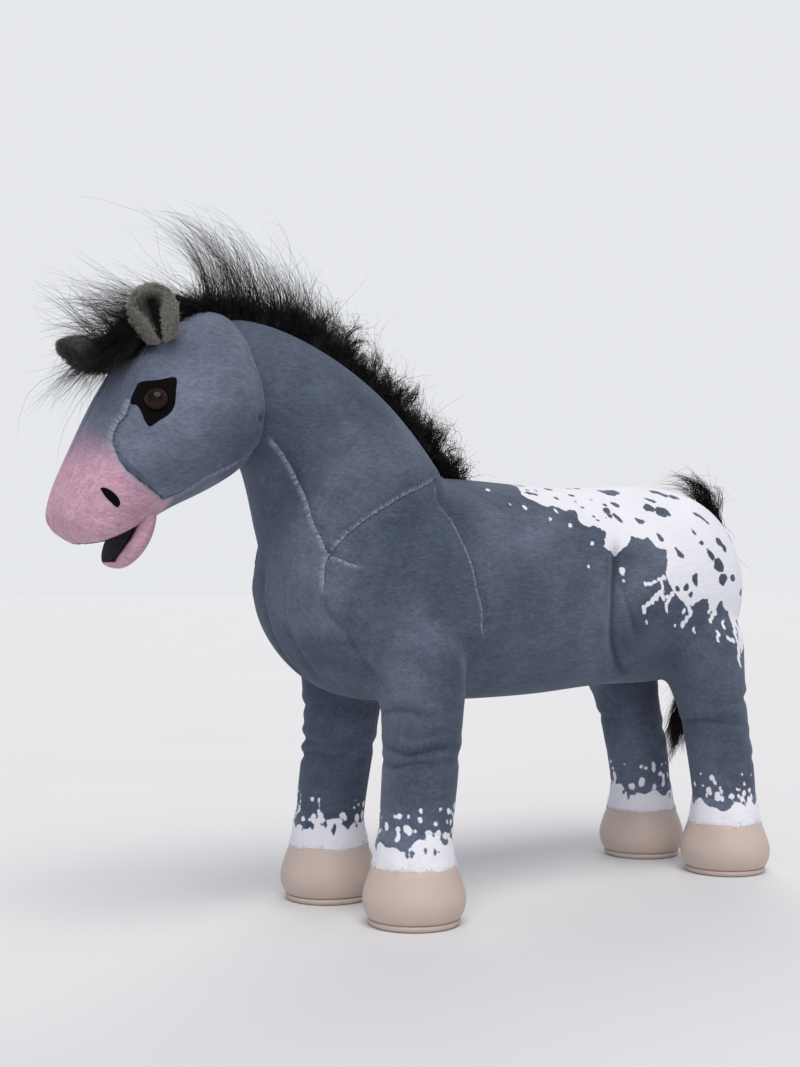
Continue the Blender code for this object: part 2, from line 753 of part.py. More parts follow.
def ear(side, sign, outward, forward, facing):
    """A cupped ear with a long-pile lining, on a soft root in the head. Its angles are in degrees."""
    hinge = (sign * EAR_SPREAD, -EAR_REACH, ear_height)
    pivot = empty(f"ear_{side}_pivot", hinge, head_pivot)
    label = f"ear_{side}"
    socket = guide(f"{label}_socket", ball_mesh(
        f"{label}_socket", hinge, [EAR_BALL_RADIUS + GAP] * 3, *BALL_FACETS))
    cut_away(head, socket)
    tilt = Matrix.Rotation(sign * math.radians(outward), 4, "Y") @ \
        Matrix.Rotation(math.radians(forward), 4, "X") @ \
        Matrix.Rotation(sign * math.radians(facing), 4, "Z")
    middle = Vector(hinge) + tilt @ Vector((0, 0, EAR_LIFT + EAR_LENGTH / 2 - EAR_BALL_RADIUS))
    opening = tilt @ Vector((0, -1, 0))
    half = Vector((EAR_BREADTH / 2, EAR_THICKNESS / 2, EAR_LENGTH / 2))

    def egg(name, shift, shrink, facets=EAR_FACETS):
        return ball_mesh(name, middle + opening * shift, half - Vector(shrink), *facets, tilt)

    outer = piece(label, egg(label, 0, (0, 0, 0)), plush, pivot)
    hollow = guide(f"{label}_hollow", egg(
        f"{label}_hollow", half.y, (EAR_WALL, -EAR_WALL, EAR_WALL)))
    cut_away(outer, hollow, ear_room)
    root = guide(f"{label}_root", ball_mesh(
        f"{label}_root", hinge, [EAR_BALL_RADIUS] * 3, *BALL_FACETS))
    combine(outer, root, "UNION")

    # The lining lies on the wall of the cup and leaves its mouth free
    inset = EAR_WALL + 2 * GAP
    lining = piece(f"{label}_lining", egg(f"{label}_lining", 0, [2 * GAP] * 3), ear_plush, pivot)
    seat = guide(f"{label}_seat", egg(
        f"{label}_seat", half.y, (inset, -EAR_WALL + 2 * GAP, inset)))
    combine(lining, seat, "INTERSECT")
    inner = inset + LINING_WALL
    cup = guide(f"{label}_cup", egg(
        f"{label}_cup", half.y, (inner, LINING_WALL - EAR_WALL + 2 * GAP, inner), CUP_FACETS))
    cut_away(lining, cup, ear_room)


ear("left", 1, *LEFT_EAR_TURNS)
ear("right", -1, *RIGHT_EAR_TURNS)


def mane():
    rows = []
    for along, up, length, lean in mane_shares:
        tilt = math.radians(lean)
        half = length * MANE_LENGTH / 2
        y = -MANE_ROOT_REACH - along * MANE_RUN + half * math.sin(tilt) / 2
        z = MANE_ROOT_HEIGHT + up * MANE_RISE + half * math.cos(tilt) / 2
        rows.append((0, y, z, half, MANE_BREADTH / 2, lean))
    made = piece("mane", loft_mesh("mane", rows, HAIR_RING_COUNT), hair_pile, neck_pivot)
    add_levels(made)
    cut_away(made, neck_skin, torso_space, head_space)


def forelock():
    rows = [
        (0, -FORELOCK_REACH - fore * FORELOCK_RUN, FORELOCK_HEIGHT - down * FORELOCK_FALL,
         depth * FORELOCK_DEPTH / 2, width * FORELOCK_BREADTH / 2, FORELOCK_LEAN)
        for fore, down, depth, width in forelock_shares
    ]
    made = piece("forelock", loft_mesh("forelock", rows, HAIR_RING_COUNT), hair_pile, head_pivot)
    add_levels(made)
    cut_away(made, head_skin, nape_space)


mane()
forelock()


def tail():
    hinge = Vector((0, *tail_hinge))
    rise = math.radians(DOCK_RISE)
    along = Vector((0, math.cos(rise), math.sin(rise)))
    socket = guide("dock_socket", ball_mesh(
        "dock_socket", hinge, [DOCK_RADIUS + 3 * GAP] * 3, *BALL_FACETS))
    cut_away(torso, socket)
    dock = piece("tail_dock", ball_mesh("tail_dock", hinge, [DOCK_RADIUS] * 3, *BALL_FACETS), plush,
                 tail_pivot)
    end = hinge + along * DOCK_LENGTH
    stub = guide("dock_stub", cylinder_mesh("dock_stub", hinge, end, STUB_RADIUS, TURN_STEPS))
    combine(dock, stub, "UNION")
    start = hinge + along * HAIR_START
    rows = [
        (-aside * TAIL_DRIFT, start.y + back * TAIL_RUN, start.z - down * TAIL_FALL,
         thick * TAIL_THICKNESS / 2, broad * TAIL_THICKNESS / 2, lean)
        for back, down, aside, thick, broad, lean in tail_shares
    ]
    hair = piece("tail_hair", loft_mesh("tail_hair", rows, HAIR_RING_COUNT), hair_pile, tail_pivot)
    add_levels(hair)
    seat = guide("dock_seat", cylinder_mesh(
        "dock_seat", hinge, end + along * GAP, STUB_RADIUS + GAP, TURN_STEPS))
    face = guide("dock_face", cylinder_mesh(
        "dock_face", start - along * TAIL_THICKNESS, start, TAIL_THICKNESS, TURN_STEPS))
    cut_away(hair, seat, face, rump_skin)


tail()


def turned_mesh(name, profile, steps=TURN_STEPS):
    """A closed profile of (radius, height) turned about Z, with its ends on the axis or joined up."""
    work = bmesh.new()
    spots = [work.verts.new((r, 0, z)) for r, z in profile]
    on_axis = profile[0][0] == 0
    edges = [work.edges.new(pair) for pair in zip(spots, spots[1:])]
    if not on_axis:
        edges.append(work.edges.new((spots[-1], spots[0])))
    bmesh.ops.spin(work, geom=spots + edges, axis=(0, 0, 1), cent=(0, 0, 0), steps=steps,
                   angle=2 * math.pi, use_merge=True)
    bmesh.ops.remove_doubles(work, verts=work.verts, dist=GAP / 10)
    return finish_mesh(name, work)


hoof_profile = [(0, HOOF_HEIGHT), (HOOF_TOP_RADIUS, HOOF_HEIGHT)]
hoof_profile += [(out * HOOF_RADIUS, up * HOOF_HEIGHT) for out, up in reversed(hoof_shares)]
hollow_radius = WEIGHT_RADIUS + GAP
hollow_top = SOLE_THICKNESS + WEIGHT_HEIGHT + 3 * GAP
hoof_profile += [(hollow_radius, hoof_shares[0][1] * HOOF_HEIGHT), (hollow_radius, hollow_top),
                 (0, hollow_top)]
hoof_mesh = turned_mesh("hoof", hoof_profile)

cuff_inner = LEG_WIDTH / 2 * front_leg_shares[1][2] + CUFF_CLEARANCE
cuff_foot = HOOF_TOP_RADIUS + CUFF_THICKNESS
cuff_low = HOOF_HEIGHT - CUFF_THICKNESS
cuff_profile = [(cuff_inner, HOOF_HEIGHT + GAP)]
cuff_profile += [(cuff_inner + out * CUFF_THICKNESS, cuff_low + up * CUFF_HEIGHT) for out, up in cuff_shares]
cuff_profile += [(cuff_foot + CUFF_CLEARANCE, cuff_low)]
cuff_mesh = turned_mesh("cuff", cuff_profile)


def moved_copy(mesh, x, y):
    """The mesh again, at a foot's place."""
    copy = mesh.copy()
    copy.transform(Matrix.Translation((x, y, 0)))
    return copy


def leg(end, side, sign):
    """One leg, with its hinge at shoulder or hip and its knee or hock."""
    front = end == "front"
    facing = -1 if front else 1
    track = FRONT_TRACK if front else HIND_TRACK
    shares = front_leg_shares if front else hind_leg_shares
    top_reach = facing * (SHOULDER_REACH if front else HIP_REACH)
    top_height = SHOULDER_HEIGHT if front else HIP_HEIGHT
    top_radius = SHOULDER_RADIUS if front else HIP_RADIUS
    foot_x = sign * track / 2
    foot_y = facing * STANCE_LENGTH / 2
    core = CORE_WIDTH / 2
    label = f"{end}_{side}"
    hinge = (top_reach, top_height)

    # The leg drifts in to stay beside the core of the torso
    top_x = sign * (core + GAP + LEG_WIDTH / 2 * shares[5][3])
    rows = []
    for up, drift, depth, width in shares:
        x = foot_x + drift * (top_x - foot_x)
        y = foot_y + drift * (top_reach - foot_y)
        rows.append((x, y, HOOF_HEIGHT - SOLE_THICKNESS + up * LEG_LENGTH, depth * LEG_WIDTH / 2,
                     width * LEG_WIDTH / 2, 90))
    cage = loft_mesh(f"{label}_leg", rows, LEG_RING_COUNT)
    knee_share = (KNEE_HEIGHT - HOOF_HEIGHT) / LEG_LENGTH
    knee = (foot_y + knee_share * (top_reach - foot_y), KNEE_HEIGHT)

    pivot = empty(f"{label}_leg_pivot", (0, *hinge), stance)
    knee_pivot = empty(f"{label}_knee_pivot", (0, *knee), pivot)

    # Space for the leg's top in the torso
    half_spread = math.degrees(math.asin(LEG_WIDTH / 2 * shares[5][2] / top_radius)) + LEG_SWING
    inner, outer = sign * core, sign * BODY_WIDTH
    space = guide(f"{label}_leg_space", prism_mesh(f"{label}_leg_space", keyhole(
        hinge, top_radius + GAP, 270 - half_spread, 270 + half_spread), inner, outer))
    cut_away(torso, space)
    plug = guide(f"{label}_plug", prism_mesh(
        f"{label}_plug", disc(hinge, top_radius), inner + sign * GAP, outer))
    combine(plug, torso_form, "INTERSECT")

    # The knee bends back at the front and forward at the hind leg's hock
    back_swing, fore_swing = (KNEE_SWING, 0) if front else (0, KNEE_SWING)
    seat = (KNEE_EDGE + back_swing, 180 - KNEE_EDGE - fore_swing)
    knee_space = guide(f"{label}_knee_space", prism_mesh(f"{label}_knee_space", keyhole(
        knee, KNEE_RADIUS + GAP, seat[1], seat[0] + 360), *full_cut))
    thigh_space = guide(f"{label}_thigh_space", prism_mesh(f"{label}_thigh_space", ring_sector(
        knee, KNEE_RADIUS, KNEE_EDGE - KNEE_SLACK, 180 - KNEE_EDGE + KNEE_SLACK), *full_cut))

    upper = piece(f"{label}_upper_leg", cage, plush, pivot)
    add_levels(upper)
    combine(upper, plug, "UNION")
    cut_away(upper, knee_space)
    lower = piece(f"{label}_lower_leg", cage.copy(), plush, knee_pivot)
    add_levels(lower)
    cut_away(lower, thigh_space, floor_block)

    wire_x = (foot_x + top_x) / 2
    upper_start = knee[1] + KNEE_RADIUS + WIRE_RADIUS
    wire(f"{label}_upper_wire", (wire_x, top_reach, upper_start),
         (wire_x, top_reach, upper_start + UPPER_WIRE_LENGTH), [upper], pivot,
         overrun=(KNEE_RADIUS, 0))
    wire(f"{label}_lower_wire", (foot_x, knee[0], HOOF_HEIGHT + 3 * GAP),
         (foot_x, knee[0], HOOF_HEIGHT + 3 * GAP + LOWER_WIRE_LENGTH), [lower], knee_pivot,
         overrun=(WIRE_RADIUS, KNEE_RADIUS))

    piece(f"{label}_hoof", moved_copy(hoof_mesh, foot_x, foot_y), hoof_leather, knee_pivot)
    piece(f"{label}_cuff", moved_copy(cuff_mesh, foot_x, foot_y), white_plush, knee_pivot)
    piece(f"{label}_hoof_weight", cylinder_mesh(
        f"{label}_hoof_weight", (foot_x, foot_y, SOLE_THICKNESS + GAP),
        (foot_x, foot_y, SOLE_THICKNESS + GAP + WEIGHT_HEIGHT), WEIGHT_RADIUS, TURN_STEPS),
        ballast, knee_pivot)
    sole = piece(f"{label}_sole", cylinder_mesh(
        f"{label}_sole", (foot_x, foot_y, 0), (foot_x, foot_y, SOLE_THICKNESS), SOLE_RADIUS,
        TURN_STEPS), hoof_leather, knee_pivot)
    edge = sole.modifiers.new("welt", "BEVEL")
    edge.width = SOLE_BEVEL
    edge.segments = 1
    return upper


def legs():
    for end in ("front", "hind"):
        left = leg(end, "left", 1)
        right = leg(end, "right", -1)
        reach = -SHOULDER_REACH if end == "front" else HIP_REACH
        height = SHOULDER_HEIGHT if end == "front" else HIP_HEIGHT
        half = CROSS_WIRE_LENGTH / 2
        wire(f"{end}_cross_wire", (-half, reach, height), (half, reach, height),
             [torso, left, right])


legs()

bpy.context.view_layer.update()
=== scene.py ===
import json
import math

import bmesh
import bpy
import numpy as np
from mathutils import Matrix, Vector
from mathutils.bvhtree import BVHTree

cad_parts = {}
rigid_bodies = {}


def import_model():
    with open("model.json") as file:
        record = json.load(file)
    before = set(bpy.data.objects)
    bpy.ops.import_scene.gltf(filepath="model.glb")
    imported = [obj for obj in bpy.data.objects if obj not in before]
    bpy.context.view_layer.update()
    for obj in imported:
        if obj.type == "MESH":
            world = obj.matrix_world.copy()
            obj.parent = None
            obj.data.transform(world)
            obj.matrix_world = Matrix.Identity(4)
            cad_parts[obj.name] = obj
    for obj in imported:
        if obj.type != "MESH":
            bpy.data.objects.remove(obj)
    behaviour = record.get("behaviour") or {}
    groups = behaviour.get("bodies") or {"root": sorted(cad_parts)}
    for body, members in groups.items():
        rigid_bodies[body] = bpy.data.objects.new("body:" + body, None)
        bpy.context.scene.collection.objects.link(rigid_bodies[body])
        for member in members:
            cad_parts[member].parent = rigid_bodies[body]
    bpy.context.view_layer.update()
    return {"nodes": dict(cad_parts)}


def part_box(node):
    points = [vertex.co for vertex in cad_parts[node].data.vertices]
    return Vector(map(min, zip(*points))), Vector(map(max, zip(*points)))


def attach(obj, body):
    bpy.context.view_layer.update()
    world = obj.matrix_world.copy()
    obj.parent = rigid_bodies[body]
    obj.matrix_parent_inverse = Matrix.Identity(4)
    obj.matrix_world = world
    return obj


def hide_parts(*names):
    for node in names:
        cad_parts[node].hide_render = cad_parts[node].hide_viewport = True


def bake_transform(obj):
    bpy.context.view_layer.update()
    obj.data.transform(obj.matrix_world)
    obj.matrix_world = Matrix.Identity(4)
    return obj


# Everything is first made from the middle of the stance, in metres, and moved to its place at the end.
# The horse faces -Y and its left side is +X.
for old in list(bpy.data.objects):
    bpy.data.objects.remove(old)
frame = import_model()
for loaded in bpy.context.selected_objects:
    loaded.select_set(False)

# Reach of each foot from the middle of the stance
FOOT_REACH = 0.185
sole_low, sole_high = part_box("front_left_sole")
STANCE = (sole_low.y + sole_high.y) / 2 + FOOT_REACH
chance = np.random.default_rng(7)

# ---------------------------------------------------------------- camera
IMAGE_HEIGHT = 1067
FOCUS = 1503.6
ahead = Vector((-0.8086, 0.5875, 0.0336)).normalized()
aside = Vector((0.5875, 0.8086, 0.0)).normalized()
upward = aside.cross(ahead)
lens = bpy.data.cameras.new("photo_camera")
lens.sensor_fit = "VERTICAL"
lens.sensor_height = 36
lens.lens = FOCUS / IMAGE_HEIGHT * 36
lens.clip_start = 0.01
camera = bpy.data.objects.new("photo_camera", lens)
bpy.context.scene.collection.objects.link(camera)
turned = Matrix((aside, upward, -ahead)).transposed().to_4x4()
turned.translation = Vector((1.0307, -0.9028 + STANCE, 0.2698))
camera.matrix_world = turned
bpy.context.scene.camera = camera


# ---------------------------------------------------------------- small tools
def linear(colour):
    """sRGB hex to linear RGBA."""
    shares = [int(colour[i:i + 2], 16) / 255 for i in (0, 2, 4)]
    return [s / 12.92 if s <= 0.04045 else ((s + 0.055) / 1.055) ** 2.4 for s in shares] + [1.0]


def ramp(value, low, high):
    """0 below low, 1 above high, smooth between them."""
    t = np.clip((value - low) / (high - low), 0, 1)
    return t * t * (3 - 2 * t)


def bell(distance, width):
    return np.exp(-(distance / width) ** 2)


def new_piece(name, points, faces, smooth=True):
    """A mesh object from points and faces. Faces in an array all have the same number of corners."""
    mesh = bpy.data.meshes.new(name)
    if isinstance(faces, np.ndarray):
        count, corners = faces.shape
        mesh.vertices.add(len(points))
        mesh.vertices.foreach_set("co", np.asarray(points, np.float32).ravel())
        mesh.loops.add(count * corners)
        mesh.loops.foreach_set("vertex_index", faces.astype(np.int32).ravel())
        mesh.polygons.add(count)
        mesh.polygons.foreach_set("loop_start", np.arange(0, count * corners, corners, dtype=np.int32))
        mesh.update(calc_edges=True)
    else:
        mesh.from_pydata([tuple(p) for p in points], [], faces)
    if smooth:
        mesh.shade_smooth()
    made = bpy.data.objects.new(name, mesh)
    bpy.context.scene.collection.objects.link(made)
    return made


def points_of(made):
    out = np.zeros(len(made.data.vertices) * 3)
    made.data.vertices.foreach_get("co", out)
    return out.reshape(-1, 3)


def normals_of(made):
    out = np.zeros(len(made.data.vertices) * 3, np.float32)
    made.data.vertex_normals.foreach_get("vector", out)
    return out.reshape(-1, 3).astype(float)


def set_points(made, points):
    made.data.vertices.foreach_set("co", np.asarray(points, np.float32).ravel())
    made.data.update()


def put(made, name, values, kind="FLOAT"):
    """A value for every point, which a material reads by name."""
    layer = made.data.attributes.get(name) or made.data.attributes.new(name, kind, "POINT")
    field = "value" if kind == "FLOAT" else "vector"
    layer.data.foreach_set(field, np.asarray(values, np.float32).ravel())


def settle(made):
    """Applies every modifier of the piece."""
    for other in bpy.context.selected_objects:
        other.select_set(False)
    made.select_set(True)
    bpy.context.view_layer.objects.active = made
    for step in list(made.modifiers):
        bpy.ops.object.modifier_apply(modifier=step.name)
    made.select_set(False)
    return made


def soften(made, levels):
    step = made.modifiers.new("soften", "SUBSURF")
    step.levels = levels
    step.render_levels = levels
    return settle(made)


def joined(parts):
    for part in parts:
        part.select_set(True)
    bpy.context.view_layer.objects.active = parts[0]
    bpy.ops.object.join()
    parts[0].select_set(False)
    return parts[0]


def tree_of(made):
    return BVHTree.FromPolygons([v.co for v in made.data.vertices],
                                [p.vertices for p in made.data.polygons])


def finished(made, material, nodes):
    """Gives a piece its material, hides the solids that it stands for, and moves it from the stance to the row."""
    made.data.materials.clear()
    made.data.materials.append(material)
    made.data.transform(Matrix.Translation((0, STANCE, 0)))
    if nodes:
        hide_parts(*nodes)
    return made


def turn_outward(made):
    """Turns the faces of a closed piece outward."""
    work = bmesh.new()
    work.from_mesh(made.data)
    bmesh.ops.recalc_face_normals(work, faces=work.faces)
    if work.calc_volume(signed=True) < 0:
        bmesh.ops.reverse_faces(work, faces=work.faces)
    work.to_mesh(made.data)
    work.free()


def edges_of(made):
    out = np.zeros(len(made.data.edges) * 2, np.int32)
    made.data.edges.foreach_get("vertices", out)
    return out.reshape(-1, 2)


def relax(points, edges, weight, rounds, step=0.5):
    """Evens the points out along the edges, as strongly as each point's weight says."""
    count = np.bincount(edges.ravel(), minlength=len(points)).astype(float)
    count[count == 0] = 1
    for _ in range(rounds):
        mean = np.zeros_like(points)
        for axis in range(points.shape[1]):
            mean[:, axis] = (np.bincount(edges[:, 0], points[edges[:, 1], axis], len(points))
                             + np.bincount(edges[:, 1], points[edges[:, 0], axis], len(points))) / count
        points = points + (mean - points) * (weight * step)[:, None]
    return points


def resampled(line, gap):
    """Points along a line with an even gap, smooth between the given ones, and the way along it."""
    line = np.array(line, float)
    padded = np.vstack([2 * line[0] - line[1], line, 2 * line[-1] - line[-2]])
    out = []
    for a, b, c, d in zip(padded, padded[1:], padded[2:], padded[3:]):
        for t in np.arange(0, 1, gap / max(np.linalg.norm(c - b), gap)):
            out.append(0.5 * (2 * b + (c - a) * t + (2 * a - 5 * b + 4 * c - d) * t ** 2
                              + (3 * b - a - 3 * c + d) * t ** 3))
    out.append(line[-1])
    out = np.array(out)
    run = np.concatenate([[0], np.cumsum(np.linalg.norm(np.diff(out, axis=0), axis=1))])
    return out, run


def near_line(points, normals, line):
    """For each point: distance to the line, the side it lies on, and the way along the line."""
    spots, run = line
    tangents = np.gradient(spots, axis=0)
    best = np.full(len(points), 0.05)
    where = np.zeros(len(points), int)
    close = np.nonzero(((points > spots.min(0) - 0.03) & (points < spots.max(0) + 0.03)).all(1))[0]
    for first in range(0, len(close), 4000):
        part = close[first:first + 4000]
        gaps = ((points[part, None, :] - spots[None]) ** 2).sum(2)
        where[part] = gaps.argmin(1)
        best[part] = np.sqrt(gaps.min(1))
    off = points - spots[where]
    cross = np.cross(tangents[where], normals)
    side = np.sign((off * cross).sum(1))
    side[side == 0] = 1
    return best, side, run[where]


def from_edge(ys, zs, start, end):
    """Distance to a straight edge in side view."""
    (y0, z0), (y1, z1) = start, end
    dy, dz = y1 - y0, z1 - z0
    t = np.clip(((ys - y0) * dy + (zs - z0) * dz) / (dy * dy + dz * dz), 0, 1)
    return np.hypot(ys - y0 - t * dy, zs - z0 - t * dz)


def inside(ys, zs, outline):
    """Distance to an outline in side view, positive inside it."""
    outline = np.array(outline, float)
    best = np.full(len(ys), 9.0)
    within = np.zeros(len(ys), bool)
    for (y0, z0), (y1, z1) in zip(outline, np.roll(outline, -1, axis=0)):
        best = np.minimum(best, from_edge(ys, zs, (y0, z0), (y1, z1)))
        if z1 != z0:
            within ^= ((z0 > zs) != (z1 > zs)) & (ys < (zs - z0) * (y1 - y0) / (z1 - z0) + y0)
    return np.where(within, best, -best)


# ---------------------------------------------------------------- materials
def new_material(name):
    made = bpy.data.materials.new(name)
    made.use_nodes = True
    tree = made.node_tree
    return made, tree, tree.nodes["Principled BSDF"]


def add(tree, kind, sockets=None, **settings):
    """Adds a node with its settings. A socket gets a value, or a link if it is given another socket."""
    made = tree.nodes.new(kind)
    for name, value in settings.items():
        setattr(made, name, value)
    for name, value in (sockets or {}).items():
        if isinstance(value, bpy.types.NodeSocket):
            tree.links.new(value, made.inputs[name])
        else:
            made.inputs[name].default_value = value
    return made


def carried(tree, name, output="Fac"):
    """The value that a piece carries at each point under this name."""
    return add(tree, "ShaderNodeAttribute", attribute_name=name).outputs[output]


def own_place(tree):
    return add(tree, "ShaderNodeTexCoord").outputs["Object"]


def noise(tree, place, scale, detail=2.0, roughness=0.5, distortion=0.0):
    return add(tree, "ShaderNodeTexNoise", {"Vector": place, "Scale": scale, "Detail": detail, "Roughness": roughness,
                                            "Distortion": distortion}).outputs["Fac"]


def between(tree, share, first, last):
    """A colour between two others, each given as hex or as a socket."""
    first, last = (linear(c) if isinstance(c, str) else c for c in (first, last))
    return add(tree, "ShaderNodeMix", {0: share, 6: first, 7: last}, data_type="RGBA").outputs[2]


def mapped(tree, value, low, high, first=0.0, last=1.0):
    """A value's range from low to high, drawn out to the range from first to last."""
    return add(tree, "ShaderNodeMapRange", {"Value": value, "From Min": low, "From Max": high, "To Min": first,
                                            "To Max": last}).outputs[0]


def worked(tree, operation, *values):
    return add(tree, "ShaderNodeMath", dict(enumerate(values)), operation=operation).outputs[0]


def dimmed(tree, colour, factor):
    return add(tree, "ShaderNodeVectorMath", {0: colour, 1: factor}, operation="MULTIPLY").outputs[0]


def finish_shader(tree, shader, colour, relief=None, **values):
    """Links the colour and the relief, given as its height, strength and depth, and sets the plain values."""
    tree.links.new(colour, shader.inputs["Base Color"])
    if relief:
        height, strength, depth = relief
        bump = add(tree, "ShaderNodeBump", {"Height": height, "Strength": strength, "Distance": depth})
        tree.links.new(bump.outputs[0], shader.inputs["Normal"])
    for name, value in values.items():
        shader.inputs[name.replace("_", " ")].default_value = value


def plush_material(name, dark, middle, light, sheen, spotted=False, blush=False, lined=False):
    """Short pile fabric of fine fibres: matt, with patches where the pile lies another way and a pale bloom at
    grazing angles.
    """
    made, tree, shader = new_material(name)
    place = carried(tree, "rest_place", "Vector")
    patches = noise(tree, place, 11.0, 5.0, 0.55, 0.4)
    # The pile lies along the body: strokes 1.5 mm wide and 5 mm long, coarser than the real fibres, so they show
    laid = add(tree, "ShaderNodeMapping", {"Vector": place, "Rotation": (0.5, 0.0, 0.0),
                                           "Scale": (1.0, 0.28, 0.8)}).outputs[0]
    nap = noise(tree, laid, 640.0, 3.0, 0.65)
    tufts = noise(tree, laid, 170.0, 4.0, 0.6, 0.4)
    colours = add(tree, "ShaderNodeValToRGB", {"Fac": patches})
    colours.color_ramp.elements[0].position = 0.32
    colours.color_ramp.elements[0].color = linear(dark)
    colours.color_ramp.elements[1].position = 0.70
    colours.color_ramp.elements[1].color = linear(light)
    colours.color_ramp.elements.new(0.5).color = linear(middle)
    colour = colours.outputs["Color"]
    if blush:
        # The face fades from grey to pink over the nose, and is black in the mouth
        pinks = between(tree, patches, "b28294", "cfa9b9")
        colour = between(tree, carried(tree, "blush"), colour, pinks)
        colour = between(tree, carried(tree, "mouth_black"), colour, "0b0a0c")
    if lined:
        # The inside of the ear is lined in an olive grey pile, with painted shade that makes it nearly black where it
        # is deep
        lining = carried(tree, "lining")
        inner = between(tree, patches, "504f49", "858278")
        colour = between(tree, lining, colour, inner)
        # Lining values above 1 are painted shade
        colour = dimmed(tree, colour, mapped(tree, lining, 1.0, 1.8, 1.0, 0.06))
    # The nap also shades the colour, fibre by fibre and tuft by tuft
    colour = dimmed(tree, colour, mapped(tree, nap, 0.28, 0.72, 0.74, 1.22))
    colour = dimmed(tree, colour, mapped(tree, tufts, 0.3, 0.7, 0.88, 1.10))
    if spotted:
        # Distance to the printed edge, made ragged by pile about 1 mm long
        ragged = noise(tree, place, 300.0)
        shifted = worked(tree, "MULTIPLY_ADD", ragged, 0.0022, -0.0011)
        edge = worked(tree, "ADD", carried(tree, "white"), shifted)
        whites = between(tree, patches, "dedde6", "f7f6f9")
        colour = between(tree, mapped(tree, edge, -0.0004, 0.0004), colour, whites)
        # Painted shade darkens the colour along the folds
        colour = dimmed(tree, colour, mapped(tree, carried(tree, "crease_shade"), 0.0, 1.0, 1.0, 0.34))
    # Sewn seams: a thin broken painted shadow line, with a painted highlight on the raised pile on one side of it
    side = carried(tree, "seam_side")
    away = worked(tree, "ABSOLUTE", side)
    picks = add(tree, "ShaderNodeTexNoise", {"W": carried(tree, "seam_run"), "Scale": 420.0, "Detail": 2.0},
                noise_dimensions="1D").outputs["Fac"]
    picks = mapped(tree, picks, 0.36, 0.64, 0.12, 1.0)
    line = worked(tree, "MULTIPLY", mapped(tree, away, 0.0003, 0.0010, 1.0, 0.0), picks)
    upper = worked(tree, "GREATER_THAN", side, 0.0)
    # Painted highlight on the raised pile on one side of the seam
    seam_highlight = worked(tree, "MULTIPLY", mapped(tree, away, 0.0008, 0.0050, 0.95, 0.0), upper)
    seam_highlight = worked(tree, "MULTIPLY", seam_highlight, picks)
    colour = between(tree, seam_highlight, colour, "9aa4b2")
    colour = between(tree, line, colour, "232a35")
    height = worked(tree, "MULTIPLY_ADD", tufts, 1.6, nap)
    finish_shader(tree, shader, colour, (height, 0.6, 0.0010), Roughness=0.9, Specular_IOR_Level=0.12,
                  Sheen_Weight=0.45, Sheen_Roughness=0.4, Sheen_Tint=linear(sheen))
    return made


def fibre_material(name, root, tip, rough, sheen=0.0):
    """Long pile: each fibre darker at its root, with its own tone."""
    made, tree, shader = new_material(name)
    place = own_place(tree)
    reach = worked(tree, "MULTIPLY", carried(tree, "fibre_along"), carried(tree, "fibre_tone"))
    reach = worked(tree, "MULTIPLY", reach, noise(tree, place, 60.0))
    colour = between(tree, mapped(tree, reach, 0.05, 0.55), root, tip)
    grain = noise(tree, place, 900.0, 1.0)
    finish_shader(tree, shader, colour, (grain, 0.2, 0.0002), Roughness=rough, Specular_IOR_Level=0.25,
                  Sheen_Weight=sheen)
    return made


def leather_material():
    """Imitation leather, pressed grain on foam: soft sheen, with pores about 1 mm apart."""
    made, tree, shader = new_material("pressed_imitation_leather")
    place = own_place(tree)
    clouds = noise(tree, place, 22.0, 3.0)
    grain = add(tree, "ShaderNodeTexVoronoi", {"Vector": place, "Scale": 900.0},
                feature="DISTANCE_TO_EDGE").outputs["Distance"]
    height = worked(tree, "MULTIPLY_ADD", noise(tree, place, 70.0), 2.5, grain)
    finish_shader(tree, shader, between(tree, clouds, "bba79b", "cebdb2"), (height, 0.3, 0.0004))
    tree.links.new(mapped(tree, clouds, 0.0, 1.0, 0.42, 0.58), shader.inputs["Roughness"])
    return made


def felt_material():
    """Black needle felt: matt, with a tangle of fibres about half a millimetre wide."""
    made, tree, shader = new_material("black_needle_felt")
    tangle = noise(tree, own_place(tree), 1100.0, 3.0)
    finish_shader(tree, shader, between(tree, tangle, "030303", "0d0d0f"), (tangle, 0.6, 0.0003), Roughness=1.0,
                  Specular_IOR_Level=0.1)
    return made


def eye_material():
    """Moulded toy eye: black pupil and brown iris under clear gloss. The rings follow an attribute."""
    made, tree, shader = new_material("moulded_glossy_eye")
    rings = add(tree, "ShaderNodeValToRGB", {"Fac": carried(tree, "from_pupil")})
    rings.color_ramp.elements[0].position = 0.50
    rings.color_ramp.elements[0].color = linear("050404")
    rings.color_ramp.elements[1].position = 0.97
    rings.color_ramp.elements[1].color = linear("140a08")
    for position, colour in ((0.56, "140a07"), (0.72, "2f1a11"), (0.88, "1f110b")):
        rings.color_ramp.elements.new(position).color = linear(colour)
    streaks = mapped(tree, noise(tree, own_place(tree), 700.0), 0.0, 1.0, 0.7, 1.3)
    finish_shader(tree, shader, dimmed(tree, rings.outputs["Color"], streaks), Roughness=0.06,
                  Specular_IOR_Level=0.12)
    return made


def metal_material(name, dark, light, rough):
    """Drawn or pressed steel with fine rub marks."""
    made, tree, shader = new_material(name)
    marks = noise(tree, own_place(tree), 600.0)
    finish_shader(tree, shader, between(tree, marks, dark, light), Metallic=1.0)
    tree.links.new(mapped(tree, marks, 0.0, 1.0, rough, rough + 0.2), shader.inputs["Roughness"])
    return made


